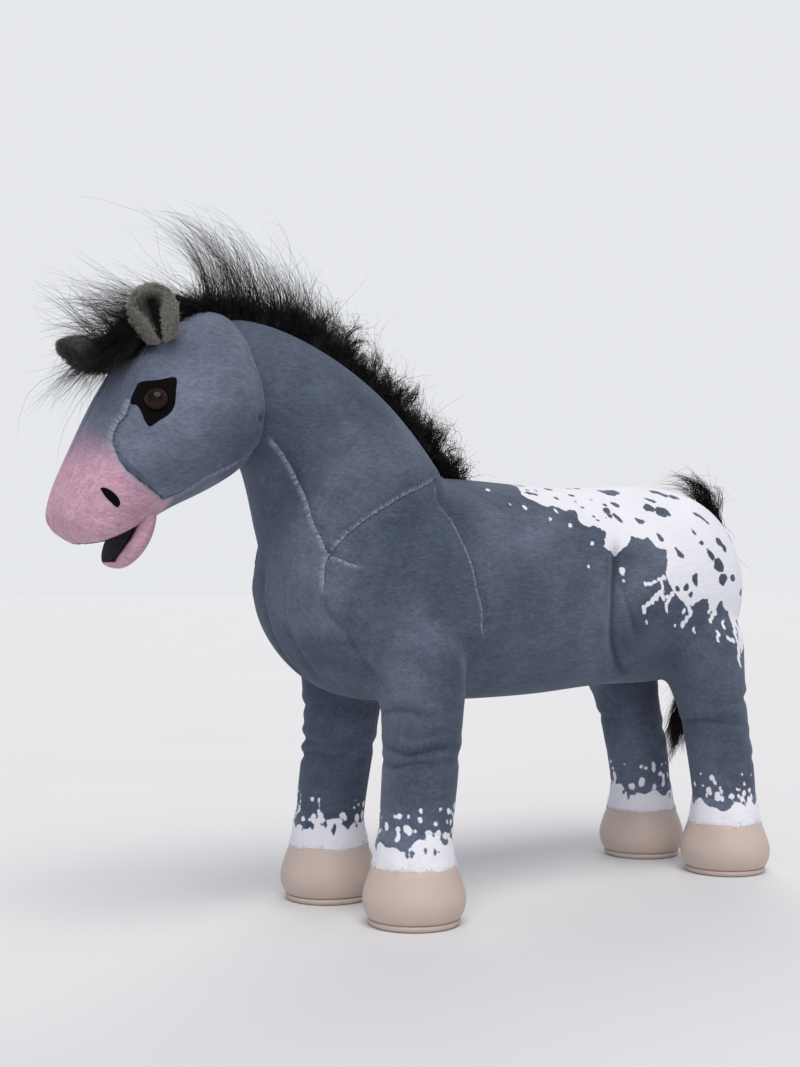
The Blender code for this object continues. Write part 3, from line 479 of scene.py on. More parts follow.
coat_plush = plush_material("slate_short_plush", "434c5b", "525b6b", "666e7f", "a4a8b8", spotted=True)
face_plush = plush_material("slate_to_pink_short_plush", "4c5464", "5f6778", "767c8d", "aaa9b8",
                            blush=True)
ear_plush = plush_material("slate_ear_plush", "454c5a", "5c6472", "7a808c", "a9a7bd", lined=True)
cuff_plush = plush_material("cuff_plush", "414a5b", "586276", "727a8f", "e4e4ea", spotted=True)
black_hair = fibre_material("black_long_pile", "040406", "151419", 0.50)
brown_hair = fibre_material("black_long_pile_with_brown_tips", "060607", "6a5342", 0.50)
white_fibre = fibre_material("white_fluffy_pile", "e2e1e8", "fbfafb", 0.8, 0.3)
ear_fibre = fibre_material("grey_green_fluffy_pile", "605f57", "c0bdb1", 0.8, 0.2)
# A darker copy of the grey-green ear pile: painted shade for the far ear
shaded_ear_fibre = fibre_material("grey_green_pile_in_painted_shade", "2e2d2f", "7a736f", 0.7, 0.2)
leather = leather_material()
felt = felt_material()
eye_glass = eye_material()
wire_steel = metal_material("drawn_steel_wire", "6f7276", "a5a8ab", 0.35)
weight_iron = metal_material("pressed_iron_disc", "3f4042", "66676a", 0.5)

# ---------------------------------------------------------------- forms of the body
RING = 12
LEG_RING = 8


def loft(name, rows, count, levels=3):
    """A closed soft form. Each row: centre x, y, z, half depth, half width, lean from upright to +Y."""
    swell = 3 / (2 + math.cos(2 * math.pi / count))
    points, faces = [], []
    for x, y, z, deep, wide, lean in rows:
        tilt = math.radians(lean)
        for i in range(count):
            turn = 2 * math.pi * i / count
            along = deep * swell * math.sin(turn)
            points.append((x + wide * swell * math.cos(turn), y + along * math.sin(tilt),
                           z + along * math.cos(tilt)))
    for r in range(len(rows) - 1):
        for i in range(count):
            j = (i + 1) % count
            faces.append((r * count + i, r * count + j, (r + 1) * count + j, (r + 1) * count + i))
    faces.append(tuple(range(count))[::-1])
    faces.append(tuple((len(rows) - 1) * count + i for i in range(count)))
    made = new_piece(name, points, faces)
    turn_outward(made)
    return soften(made, levels)


torso_shares = (
    (0.000, 0.17, 0.235, 0.36), (0.032, 0.00, 0.590, 0.72), (0.098, -0.17, 0.900, 0.92),
    (0.192, -0.08, 1.000, 1.00), (0.300, 0.00, 1.025, 1.02), (0.415, -0.08, 1.020, 1.01),
    (0.541, -0.17, 0.995, 0.99), (0.657, 0.17, 0.975, 0.99), (0.763, 0.33, 1.010, 1.02),
    (0.854, 0.33, 0.985, 0.99), (0.928, 0.17, 0.860, 0.82), (0.975, -0.20, 0.560, 0.52),
    (0.997, -0.60, 0.220, 0.20),
)
neck_shares = (
    (0.000, 0.000, 1.03, 1.04, 55), (0.178, 0.315, 0.94, 0.98, 56), (0.359, 0.584, 0.83, 0.86, 47),
    (0.552, 0.783, 0.690, 0.74, 34), (0.759, 0.927, 0.580, 0.67, 19), (1.000, 1.000, 0.527, 0.63, 6),
    (1.180, 1.060, 0.330, 0.43, 0),
)
head_shares = (
    (0.000, -0.010, 0.650, 0.72, -10), (0.100, 0.062, 0.940, 0.93, -19), (0.298, 0.192, 0.955, 1.01, -26),
    (0.488, 0.344, 0.880, 0.98, -30), (0.640, 0.505, 0.725, 0.89, -34), (0.740, 0.655, 0.605, 0.76, -42),
    (0.830, 0.790, 0.515, 0.70, -51), (0.892, 0.915, 0.455, 0.69, -60), (0.922, 1.020, 0.375, 0.60, -66),
)
# Each row: way up, drift to the shoulder or hip, half depth, half width, and mm toward the tail
front_leg_shares = (
    (0.00, 0.00, 0.94, 0.94, 0), (0.15, 0.00, 0.96, 0.96, 1), (0.30, 0.08, 1.00, 1.00, 4),
    (0.43, 0.40, 1.02, 1.02, 5), (0.56, 0.70, 1.07, 1.03, 5), (0.70, 1.00, 1.21, 1.07, 4),
    (0.85, 1.00, 1.34, 0.98, 2), (1.00, 1.00, 0.98, 0.80, 0),
)
hind_leg_shares = (
    (0.00, 0.00, 0.94, 0.94, 0), (0.15, 0.00, 0.96, 0.96, 0), (0.30, 0.08, 0.99, 1.00, -3),
    (0.43, 0.40, 0.99, 1.02, -3.5), (0.56, 0.80, 1.02, 1.02, -3), (0.70, 1.00, 1.36, 1.06, -10),
    (0.85, 1.00, 1.55, 1.00, -14), (1.00, 1.00, 1.58, 0.90, -14),
)
SIDES = (("left", 1), ("right", -1))
ENDS = (("front", -1, 0.062, 0.177, front_leg_shares), ("hind", 1, 0.055, 0.168, hind_leg_shares))


def torso_form():
    rows = [(0, -0.281 + a * 0.519, 0.266 + u * 0.012, d * 0.0935, w * 0.083, 0)
            for a, u, d, w in torso_shares]
    return loft("torso_form", rows, RING)


def neck_form():
    rows = [(0, -0.186 - a * 0.135, 0.290 + u * 0.143, d * 0.091, w * 0.071, lean)
            for a, u, d, w, lean in neck_shares]
    return loft("neck_form", rows, RING)


def leg_form(end, side):
    label, facing, foot_x, top_reach, shares = end
    _, sign = side
    top_x = sign * (0.0243 + 0.0305 * shares[5][3])
    rows = []
    for up, drift, deep, wide, back in shares:
        x = sign * foot_x + drift * (top_x - sign * foot_x)
        y = facing * (FOOT_REACH + drift * (top_reach - FOOT_REACH)) + back / 1000
        rows.append((x, y, 0.041 + up * 0.200, deep * 0.0305, wide * 0.0305, 90))
    return loft(f"{label}_leg_form", rows, LEG_RING)


# Seams and folds on both sides of the body: depth and half width in mm, sewn or only folded, and its points
body_lines = (
    (2.4, 3.2, True, [(0.044, -0.150, 0.357), (0.062, -0.175, 0.348), (0.067, -0.193, 0.342),
                      (0.069, -0.208, 0.335), (0.068, -0.229, 0.323), (0.062, -0.246, 0.310),
                      (0.056, -0.264, 0.294)]),
    (2.2, 3.0, True, [(0.055, -0.264, 0.295), (0.064, -0.253, 0.290), (0.069, -0.244, 0.286)]),
    (1.6, 2.6, True, [(0.035, -0.301, 0.379), (0.038, -0.291, 0.366), (0.042, -0.283, 0.349),
                      (0.045, -0.277, 0.335), (0.047, -0.273, 0.319), (0.049, -0.269, 0.310),
                      (0.055, -0.264, 0.296)]),
    (1.6, 3.0, True, [(0.055, -0.264, 0.295), (0.057, -0.269, 0.281), (0.058, -0.271, 0.268)]),
    (2.8, 6.0, False, [(0.058, -0.271, 0.268), (0.057, -0.267, 0.247), (0.060, -0.260, 0.239),
                       (0.062, -0.251, 0.232), (0.058, -0.238, 0.214), (0.050, -0.219, 0.198),
                       (0.040, -0.205, 0.186)]),
    (2.6, 3.2, True, [(0.044, -0.150, 0.357), (0.058, -0.155, 0.342), (0.065, -0.149, 0.324),
                      (0.074, -0.146, 0.310), (0.079, -0.142, 0.296), (0.082, -0.138, 0.280),
                      (0.084, -0.135, 0.264), (0.082, -0.129, 0.249), (0.080, -0.127, 0.234)]),
    (6.0, 8.5, False, [(0.070, 0.031, 0.309), (0.077, 0.026, 0.295), (0.082, 0.020, 0.263),
                       (0.073, 0.026, 0.225), (0.056, 0.050, 0.196), (0.036, 0.075, 0.182)]),
    (2.8, 6.0, False, [(0.080, 0.025, 0.282), (0.078, 0.043, 0.240), (0.064, 0.065, 0.211)]),
    (1.6, 4.0, False, [(0.015, -0.288, 0.289), (0.017, -0.289, 0.260), (0.014, -0.285, 0.237),
                       (0.015, -0.267, 0.208), (0.010, -0.232, 0.183)]),
)
# Folds across the legs: depth and half width in mm, height, and the side that they face, in degrees from +X
leg_folds = {
    "front": ((2.8, 4.4, 0.137, -40, 85), (2.4, 3.8, 0.126, -60, 80), (1.8, 4.4, 0.167, -60, 70),
              (1.0, 4.0, 0.150, -20, 60), (2.0, 4.4, 0.131, 90, 55)),
    "hind": ((2.5, 4.6, 0.160, 40, 75), (2.2, 4.2, 0.128, 100, 70), (1.6, 4.2, 0.140, -60, 60),
             (1.2, 3.8, 0.104, 30, 60)),
}


def body_skin():
    """One cover over torso, neck and legs, filled by a cloth simulation that is held along its seams."""
    forms = [torso_form(), neck_form()]
    forms += [leg_form(end, side) for end in ENDS for side in SIDES]
    trees = [tree_of(form) for form in forms]
    skin = joined(forms)
    skin.name = "body_cover"
    step = skin.modifiers.new("one cover", "REMESH")
    step.mode = "VOXEL"
    step.voxel_size = 0.004
    step.use_smooth_shade = True
    settle(skin)
    points, edges = points_of(skin), edges_of(skin)
    # Where two forms meet, the cover is drawn smooth over the corner
    gaps = np.sort(np.array([[(t.find_nearest(p)[3] or 9.0) for t in trees]
                             for p in map(Vector, points)]), axis=1)
    corner = 1 - ramp(gaps[:, 1], 0.004, 0.016)
    for _ in range(3):
        corner = np.maximum(corner, relax(corner[:, None], edges, np.ones(len(points)), 2)[:, 0])
    points = relax(points, edges, np.clip(corner, 0, 1), 14)
    points = relax(points, edges, np.full(len(points), 0.35), 2)
    set_points(skin, points)
    return skin


def seam_lines(skin, table):
    """The table's lines, laid on the cover on both sides."""
    tree = tree_of(skin)
    laid = []
    for depth, width, sewn, line in table:
        for sign in (1, -1):
            spots, _ = resampled([(x * sign, y, z) for x, y, z in line], 0.002)
            spots = np.array([tree.find_nearest(Vector(s))[0] for s in spots])
            run = np.concatenate([[0], np.cumsum(np.linalg.norm(np.diff(spots, axis=0), axis=1))])
            laid.append((depth / 1000, width / 1000, sewn, (spots, run)))
    return laid


FILLING_FRAMES = 20
FILLING_LIMIT = 0.003


def inflate(skin, lines):
    """Cloth under pressure, held at the seams and the feet, and limited in how far it goes."""
    before = points_of(skin)
    normals = normals_of(skin)
    held = 1 - ramp(before[:, 2], 0.080, 0.110)
    for _, _, sewn, line in lines:
        if sewn:
            gap = near_line(before, normals, line)[0]
            held = np.maximum(held, 1 - ramp(gap, 0.003, 0.007))
    group = skin.vertex_groups.new(name="held")
    for i in np.nonzero(held > 0.01)[0]:
        group.add([int(i)], float(held[i]), "REPLACE")
    cloth = skin.modifiers.new("filling", "CLOTH")
    cloth.settings.use_pressure = True
    cloth.settings.uniform_pressure_force = 4.0
    cloth.settings.effector_weights.gravity = 0.0
    cloth.settings.mass = 0.05
    cloth.settings.vertex_group_mass = "held"
    cloth.settings.tension_stiffness = 25
    cloth.settings.compression_stiffness = 25
    cloth.settings.shear_stiffness = 10
    cloth.settings.bending_stiffness = 1.5
    cloth.settings.quality = 4
    cloth.point_cache.frame_start = 1
    cloth.point_cache.frame_end = FILLING_FRAMES
    scene = bpy.context.scene
    for number in range(FILLING_FRAMES):
        scene.frame_set(number + 1)
    shaped = skin.evaluated_get(bpy.context.evaluated_depsgraph_get())
    after = np.zeros(len(before) * 3)
    shaped.data.vertices.foreach_get("co", after)
    after = after.reshape(-1, 3)
    skin.modifiers.remove(cloth)
    scene.frame_set(1)
    moved = after - before
    reach = np.linalg.norm(moved, axis=1)
    print("filling moved the cover by up to", round(float(reach.max()) * 1000, 2), "mm")
    moved *= np.minimum(1, FILLING_LIMIT / np.maximum(reach, 1e-9))[:, None]
    set_points(skin, before + moved)
    skin.vertex_groups.clear()


def press_seams(made, lines):
    """Draws the cover in along its seams, puckered, tells the material where they run, and returns the painted shade
    for the unsewn folds.
    """
    points, normals = points_of(made), normals_of(made)
    sink = np.zeros(len(points))
    crease_shade = np.zeros(len(points))
    best = np.full(len(points), 0.05)
    seam_side, seam_run = best.copy(), np.zeros(len(points))
    for depth, width, sewn, line in lines:
        gap, side, run = near_line(points, normals, line)
        length = line[1][-1]
        fade = ramp(run, -0.004, 0.006) * (1 - ramp(run, length - 0.006, length + 0.004)) * 0.6 + 0.4
        if not sewn:
            fade *= ramp(run, -0.002, 0.020) * (1 - ramp(run, length - 0.030, length + 0.002))
            # An unsewn fold gets painted shade along its middle
            crease_shade = np.maximum(crease_shade, min(1.0, depth / 0.0075) * bell(gap, width * 0.42) * fade)
        sink -= depth * bell(gap, width) * fade
        if sewn:
            pucker = np.sin(run * 2 * math.pi / 0.0062 + 1.3 * np.sin(run * 210))
            sink += 0.00040 * pucker * bell(gap - 0.0045, 0.0030)
            sink += 0.0006 * bell(gap - 0.0085, 0.005)
            closer = gap < best
            best[closer] = gap[closer]
            seam_side[closer] = (gap * side)[closer]
            seam_run[closer] = run[closer]
    set_points(made, points + normals * sink[:, None])
    put(made, "seam_side", seam_side)
    put(made, "seam_run", seam_run)
    return crease_shade


def press_leg_folds(made, crease_shade):
    """Sinks the folds across the legs, and paints shade into them, which the material draws darker."""
    points, normals = points_of(made), normals_of(made)
    sink = np.zeros(len(points))
    for label, facing, foot_x, _, _ in ENDS:
        for sign in (1, -1):
            centre_x, centre_y = sign * foot_x * 0.97, facing * 0.182
            dx, dy = (points[:, 0] - centre_x) * sign, points[:, 1] - centre_y
            near = (np.hypot(dx, dy) < 0.052) & (points[:, 2] < 0.185)
            turn = np.degrees(np.arctan2(dy, dx))
            for number, (depth, width, height, middle, spread) in enumerate(leg_folds[label]):
                off = (turn - middle + 180) % 360 - 180
                level = height + 0.0022 * np.sin(np.radians(turn) * 3 + number * 2 + sign) \
                    + sign * 0.0016
                deep = np.where(near, bell(points[:, 2] - level, width / 1000) * bell(off, spread), 0)
                sink -= depth / 1000 * deep
                sink += np.where(near, 0.5 * depth / 1000 * bell(points[:, 2] - level - 0.0075, 0.005)
                                 * bell(off, spread), 0)
                # Painted shade in each leg fold
                leg_fold_shade = bell(points[:, 2] - level, width / 2600) * bell(off, spread * 0.8)
                crease_shade = np.maximum(crease_shade, np.where(near, depth / 3.4 * leg_fold_shade, 0))
    set_points(made, points + normals * sink[:, None])
    put(made, "crease_shade", crease_shade)


# The pale blanket over the rump in side view
blanket_outline = (
    (-0.044, 0.380), (-0.042, 0.358), (-0.053, 0.3475), (-0.050, 0.3425), (-0.037, 0.338), (-0.021, 0.336),
    (-0.005, 0.333), (-0.006, 0.324), (0.003, 0.320), (0.014, 0.319), (0.018, 0.315), (0.015, 0.308),
    (0.009, 0.304), (0.017, 0.298), (0.025, 0.295), (0.035, 0.302), (0.049, 0.311), (0.067, 0.311),
    (0.071, 0.305), (0.085, 0.300), (0.085, 0.291), (0.079, 0.280), (0.083, 0.274), (0.089, 0.262),
    (0.104, 0.253), (0.113, 0.250), (0.124, 0.256), (0.133, 0.255), (0.145, 0.241), (0.150, 0.250),
    (0.157, 0.254), (0.168, 0.244), (0.177, 0.240), (0.176, 0.205), (0.190, 0.214), (0.260, 0.200),
    (0.280, 0.300), (0.240, 0.390), (0.000, 0.395),
)
# Pale drips from its lower edge: half width in mm, then the points
drips = (
    (1.7, [(0.055, 0.270), (0.067, 0.2725), (0.080, 0.275)]),
    (1.7, [(0.074, 0.271), (0.074, 0.263), (0.078, 0.258), (0.089, 0.260)]),
    (2.5, [(0.074, 0.262), (0.063, 0.254), (0.055, 0.250), (0.056, 0.244)]),
    (2.0, [(0.085, 0.260), (0.083, 0.252), (0.082, 0.245)]),
    (2.6, [(0.103, 0.254), (0.113, 0.245), (0.111, 0.238), (0.106, 0.233)]),
    (2.3, [(0.136, 0.255), (0.147, 0.243), (0.141, 0.235)]),
    (2.6, [(0.176, 0.250), (0.171, 0.222), (0.174, 0.196)]),
    (1.8, [(0.158, 0.236), (0.157, 0.229)]),
    (2.0, [(0.156, 0.219), (0.165, 0.218)]),
    (1.6, [(0.145, 0.226), (0.145, 0.219)]),
)
# Spots: y, z, half length and half height in mm, tilt in degrees
grey_spots = (
    (0.063, 0.354, 10, 3.4, -4), (0.050, 0.342, 4.4, 2.5, 0), (0.034, 0.335, 5.5, 3.2, 8),
    (0.041, 0.329, 4.4, 3.0, -40), (0.099, 0.3475, 5.0, 2.0, 0), (0.122, 0.3545, 10, 2.4, -8),
    (0.135, 0.351, 6, 2.4, -20), (0.087, 0.3385, 6.2, 3.8, 10), (0.1005, 0.336, 8.5, 5.8, -12),
    (0.067, 0.327, 4.4, 2.7, 0), (0.083, 0.312, 3.6, 3.7, 30), (0.1005, 0.2975, 6.6, 3.6, -60),
    (0.149, 0.332, 10, 2.6, -34), (0.134, 0.307, 3.0, 2.5, -30), (0.143, 0.297, 6.0, 4.4, -40),
    (0.1515, 0.287, 8.6, 6.0, 10), (0.157, 0.274, 6.2, 6.4, 0), (0.117, 0.273, 3.8, 6.4, 4),
    (0.1045, 0.268, 3.2, 3.8, 0), (0.080, 0.2665, 3.0, 4.4, 0), (0.095, 0.2645, 2.8, 2.6, 0),
    (0.111, 0.259, 2.3, 2.6, 0), (0.0155, 0.314, 3.2, 4.0, -30), (0.127, 0.318, 3.4, 1.6, -40),
    (0.200, 0.316, 6, 8, 0), (0.214, 0.286, 8, 7, 20), (0.196, 0.262, 5, 4, 0),
)
pale_spots = (
    (0.031, 0.280, 2.4, 3.8), (0.030, 0.272, 1.6, 1.8), (0.104, 0.244, 2.0, 2.6), (0.139, 0.246, 1.8, 2.6),
    (0.173, 0.212, 2.8, 3.2), (0.096, 0.231, 1.6, 2.0), (-0.002, 0.304, 2.0, 1.8), (-0.027, 0.332, 2.2, 2.0),
    (-0.021, 0.321, 2.6, 2.2), (-0.011, 0.284, 2.0, 1.8), (-0.062, 0.336, 2.6, 1.8), (-0.088, 0.349, 2.2, 1.6),
    (-0.040, 0.326, 1.8, 1.6), (0.060, 0.236, 1.6, 2.4), (0.122, 0.228, 1.6, 2.4), (-0.079, 0.338, 1.6, 1.3),
)


def capsule(ys, zs, line, wide):
    """Depth inside a line of a given half width in mm."""
    best = np.full(len(ys), 9.0)
    for start, end in zip(line, line[1:]):
        best = np.minimum(best, from_edge(ys, zs, start, end))
    return wide / 1000 - best


def scattered_legs():
    """Blots of the coat above each foot: way round, height, half width and half height in mm, pale or grey."""
    feet = []
    for _, facing, foot_x, _, _ in ENDS:
        for sign in (1, -1):
            blots = []
            for _ in range(70):
                up, size = chance.uniform(0, 1) ** 1.4, chance.uniform(1.3, 3.0)
                size *= 1.1 - 0.4 * up
                blots.append((chance.uniform(-math.pi, math.pi), 0.070 + up * 0.024, size,
                              size * chance.uniform(0.8, 1.35), True))
            for _ in range(20):
                size = chance.uniform(1.0, 1.8)
                blots.append((chance.uniform(-math.pi, math.pi), chance.uniform(0.0590, 0.0690), size,
                              size * chance.uniform(1.0, 2.0), False))
            feet.append((sign, foot_x, facing * FOOT_REACH, chance.uniform(0, 6, 3), blots))
    return feet


leg_pattern = scattered_legs()


def leg_coat(foot, points, white):
    """The legs turn pale above the feet, with blots that thin out upward and drips that run down."""
    sign, foot_x, foot_y, phase, blots = foot
    x, y, z = points.T
    dx, dy = (x - sign * foot_x) * sign, y - foot_y
    near = (np.hypot(dx, dy) < 0.055) & (z < 0.14)
    turn = np.arctan2(dy, dx)[near]
    level = z[near]
    edge = 0.0665 + 0.0034 * np.sin(turn * 2 + phase[0]) + 0.0028 * np.sin(turn * 5 + phase[1]) \
        + 0.0016 * np.sin(turn * 11 + phase[2])
    pale = edge - level
    for middle, height, wide, high, light in blots:
        across = np.abs((turn - middle + math.pi) % (2 * math.pi) - math.pi) * 30
        reach = np.hypot(across / wide, (level - height) * 1000 / high)
        if light:
            pale = np.maximum(pale, (1 - reach) * wide / 1000)
        else:
            pale = np.minimum(pale, (reach - 1) * wide / 1000)
    white = white.copy()
    white[near] = pale
    return white


def paint_coat(made):
    """How deep each point lies in the pale parts of the coat, in metres, negative in the grey."""
    points = points_of(made)
    x, y, z = points.T
    far = x < 0
    # The far side has the same coat, drawn out another way
    y_shown = np.where(far, y + 0.010 * np.sin(z * 60) + 0.006 * np.sin(y * 95 + 1), y)
    z_shown = np.where(far, z + 0.006 * np.sin(y * 70) + 0.004 * np.sin(z * 130), z)
    y_shown = y_shown + 0.0012 * np.sin(z * 300 + y * 170) + 0.0004 * np.sin(z * 760 - y * 480)
    z_shown = z_shown + 0.0012 * np.sin(y * 280 - z * 150) + 0.0004 * np.sin(y * 720 + z * 450)
    white = inside(y_shown, z_shown, blanket_outline)
    for wide, line in drips:
        wide = wide * (1 + 0.3 * np.sin(y * 900 + z * 620))
        white = np.maximum(white, capsule(y_shown, z_shown, line, wide))
    for sy, sz, long, high, tilt in grey_spots:
        c, s = math.cos(math.radians(tilt)), math.sin(math.radians(tilt))
        dy, dz = y_shown - sy, z_shown - sz
        reach = np.hypot((dy * c + dz * s) / long, (dz * c - dy * s) / high) * 1000
        middle = np.abs(x[np.argmin(np.hypot(dy, dz) - 0.1 * x)])
        reach = np.hypot(reach, (np.abs(x) - middle) * 1000 / (1.2 * max(long, high) + 3))
        white = np.minimum(white, (reach - 1) * min(long, high) / 1000)
    # On top, behind and on the far side the spots lie at random
    bare = np.nonzero((white > 0.007) & ((np.abs(x) < 0.045) | (y > 0.16) | far) & (z > 0.2))[0]
    for spot in points[chance.choice(bare, 46)]:
        stretch = chance.uniform(0.7, 1.5, 3)
        size = chance.uniform(0.0028, 0.0075)
        white = np.minimum(white, np.linalg.norm((points - spot) / stretch, axis=1) - size)
    front = np.nonzero((white > 0.002) & (y < 0.05) & (z > 0.325))[0]
    for spot in points[chance.choice(front, 44)]:
        stretch = chance.uniform(0.6, 1.6, 3)
        white = np.minimum(white, np.linalg.norm((points - spot) / stretch, axis=1) - chance.uniform(0.001, 0.0032))
    for sy, sz, long, high in pale_spots:
        reach = np.hypot((y_shown - sy) / long, (z_shown - sz) / high) * 1000
        white = np.maximum(white, (1 - reach) * min(long, high) / 1000)
    white[z < 0.185] = -0.05
    for foot in leg_pattern:
        white = leg_coat(foot, points, white)
    put(made, "white", white)


def split_skin(skin):
    """Cuts the cover where one body's part ends and another's begins."""
    points, normals = points_of(skin), normals_of(skin)
    corners = np.zeros(len(skin.data.loops), np.int32)
    skin.data.loops.foreach_get("vertex_index", corners)
    quads = corners.reshape(-1, 4)
    x, y, z = points.T
    along_neck = (-0.686 * y + 0.727 * z)[quads]
    level = (z - 0.25 * np.abs(x))[quads].min(1)
    x, y, z = x[quads].mean(1), y[quads].mean(1), z[quads].mean(1)
    names = np.full(len(quads), "torso_cover", dtype="<U40")
    on_leg = (level < 0.166) & (z < 0.19) & (np.abs(x) > 0.012)
    for label, facing, _, _, _ in ENDS:
        for side, sign in SIDES:
            own = on_leg & (y * facing > 0) & (x * sign > 0)
            names[own & (z < 0.1457)] = f"{label}_{side}_lower_leg_cover"
            names[own & (z >= 0.1457)] = f"{label}_{side}_upper_leg_cover"
    names[along_neck.max(1) > 0.385] = "neck_base_cover"
    names[along_neck.min(1) >= 0.46] = "neck_top_cover"
    layers = {}
    for layer in ("white", "seam_side", "seam_run", "crease_shade"):
        values = np.zeros(len(points), np.float32)
        skin.data.attributes[layer].data.foreach_get("value", values)
        layers[layer] = values
    made = {}
    for name in np.unique(names):
        own = quads[names == name]
        used = np.unique(own)
        lookup = np.full(len(points), -1)
        lookup[used] = np.arange(len(used))
        piece = new_piece(str(name), points[used], lookup[own])
        piece.data.normals_split_custom_set_from_vertices(normals[used].tolist())
        for layer, values in layers.items():
            put(piece, layer, values[used])
        put(piece, "rest_place", points[used], "FLOAT_VECTOR")
        made[str(name)] = piece
    bpy.data.objects.remove(skin)
    return made


skin = body_skin()
lines = seam_lines(skin, body_lines)
inflate(skin, lines)
soften(skin, 1)
press_leg_folds(skin, press_seams(skin, lines))
paint_coat(skin)
covers = split_skin(skin)

finished(covers["torso_cover"], coat_plush, ["torso"])
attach(covers["torso_cover"], "trunk")
finished(covers["neck_base_cover"], coat_plush, [])
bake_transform(covers["neck_base_cover"])
finished(covers["neck_top_cover"], coat_plush, ["neck"])
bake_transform(covers["neck_top_cover"])
for label, *_ in ENDS:
    for side, sign in SIDES:
        leg = f"{label}_{side}"
        upper = finished(covers[f"{leg}_upper_leg_cover"], coat_plush, [f"{leg}_upper_leg"])
        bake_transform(upper)
        lower = finished(covers[f"{leg}_lower_leg_cover"], coat_plush, [f"{leg}_lower_leg"])
        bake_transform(lower)


# ---------------------------------------------------------------- fibres
def strands(name, lines, thick, taper=0.35, tones=None):
    """Tapered three-sided fibres along the given lines, closed at both ends."""
    count, knots = lines.shape[:2]
    tangent = np.gradient(lines, axis=1)
    tangent /= np.maximum(np.linalg.norm(tangent, axis=2, keepdims=True), 1e-9)
    across = np.cross(tangent, chance.normal(size=(count, 1, 3)))
    across /= np.maximum(np.linalg.norm(across, axis=2, keepdims=True), 1e-9)
    other = np.cross(tangent, across)
    inner = knots - 2
    size = np.reshape(thick, (-1, 1, 1)) * (1 - (1 - taper) * np.linspace(0, 1, inner) ** 2)[None, :, None]
    rings = []
    for i in range(3):
        turn = 2 * math.pi * i / 3
        rings.append(lines[:, 1:-1] + size * (across[:, 1:-1] * math.cos(turn) + other[:, 1:-1] * math.sin(turn)))
    body = np.stack(rings, axis=2).reshape(count, inner * 3, 3)
    points = np.concatenate([body, lines[:, :1], lines[:, -1:]], axis=1)
    each = inner * 3 + 2
    own = []
    for r in range(inner - 1):
        for i in range(3):
            j = (i + 1) % 3
            own.append((r * 3 + i, r * 3 + j, r * 3 + 3 + j))
            own.append((r * 3 + i, r * 3 + 3 + j, r * 3 + 3 + i))
    for i in range(3):
        j = (i + 1) % 3
        own.append((each - 2, j, i))
        own.append(((inner - 1) * 3 + i, (inner - 1) * 3 + j, each - 1))
    faces = (np.array(own)[None] + each * np.arange(count)[:, None, None]).reshape(-1, 3)
    made = new_piece(name, points.reshape(-1, 3), faces)
    steps = np.repeat(np.linspace(0, 1, knots)[1:-1], 3)
    put(made, "fibre_along", np.tile(np.concatenate([steps, [0, 1]]), count))
    if tones is None:
        tones = chance.uniform(0.2, 1.0, count)
    put(made, "fibre_tone", np.repeat(tones, each))
    return made


def fibres(name, roots, ways, ends, lengths, thick, knots=4, clump=0.0, clumps=None, tones=None):
    """Short pile. Each fibre bends from its first way to its end way, drawn to the leader of its clump."""
    t = np.linspace(0, 1, knots)[None, :, None]
    reach = lengths[:, None, None]
    lines = roots[:, None, :] + reach * (ways[:, None, :] * (t - 0.5 * t * t) + ends[:, None, :] * 0.5 * t * t)
    if clumps is not None:
        lines += (lines[clumps] - lines) * (clump * t ** 1.3)
    return strands(name, lines, thick, tones=tones)


def locks(name, guides, owners, root_spread, tip_spread, thick, knots=8, stray=0.12, shortest=0.55, wave=0.0009):
    """Hair in locks. Each guide is four control points, and its fibres draw together toward its tip."""
    count = len(owners)
    frame_of = guides[owners]
    control = frame_of.copy()
    disc = chance.normal(size=(count, 3)) * np.array(root_spread)
    loose = np.where(chance.uniform(size=count) < stray, 4.5, 1.0)[:, None]
    control[:, 0] += disc
    control[:, 1] += disc + chance.normal(size=(count, 3)) * tip_spread * 0.35 * loose
    control[:, 2] += disc * 0.55 + chance.normal(size=(count, 3)) * tip_spread * 0.7 * loose
    control[:, 3] += disc * 0.15 + chance.normal(size=(count, 3)) * tip_spread * loose
    last = chance.uniform(shortest, 1.05, count)
    t = np.linspace(0, 1, knots)[None, :] * last[:, None]
    t = t[:, :, None]
    a, b, c, d = (control[:, i, None, :] for i in range(4))
    lines = a * (1 - t) ** 3 + 3 * b * t * (1 - t) ** 2 + 3 * c * t * t * (1 - t) + d * t ** 3
    phase = chance.uniform(0, 2 * math.pi, (count, 3))[:, None, :]
    turns = chance.uniform(3, 9, (count, 3))[:, None, :]
    lines += wave * loose[:, None, :] * t * np.sin(turns * t + phase)
    # The longest tips bend over before they pass the object's height and length
    for axis, sense, bend, room in ((2, 1, 0.548, 0.0148), (1, -1, 0.487, 0.0112)):
        past = np.maximum(lines[:, :, axis] * sense - bend, 0)
        lines[:, :, axis] -= sense * (past - room * (1 - np.exp(-past / room)))
    return strands(name, lines, thick * chance.uniform(0.75, 1.15, count))


def unit(v):
    return v / np.maximum(np.linalg.norm(v, axis=-1, keepdims=True), 1e-9)


def nearest_clump(roots, number):
    """For each root, the index of the nearest of a few leading roots."""
    leaders = chance.choice(len(roots), number, replace=False)
    gaps = ((roots[:, None, :] - roots[leaders][None]) ** 2).sum(2)
    return leaders[gaps.argmin(1)]


crest_line = [(0, -0.086, 0.357), (0, -0.126, 0.383), (0, -0.165, 0.412), (0, -0.207, 0.441),
              (0, -0.250, 0.463), (0, -0.290, 0.473), (0, -0.345, 0.476)]
crest_spots, crest_run = resampled(crest_line, 0.002)
crest_ways = unit(np.gradient(crest_spots, axis=0))


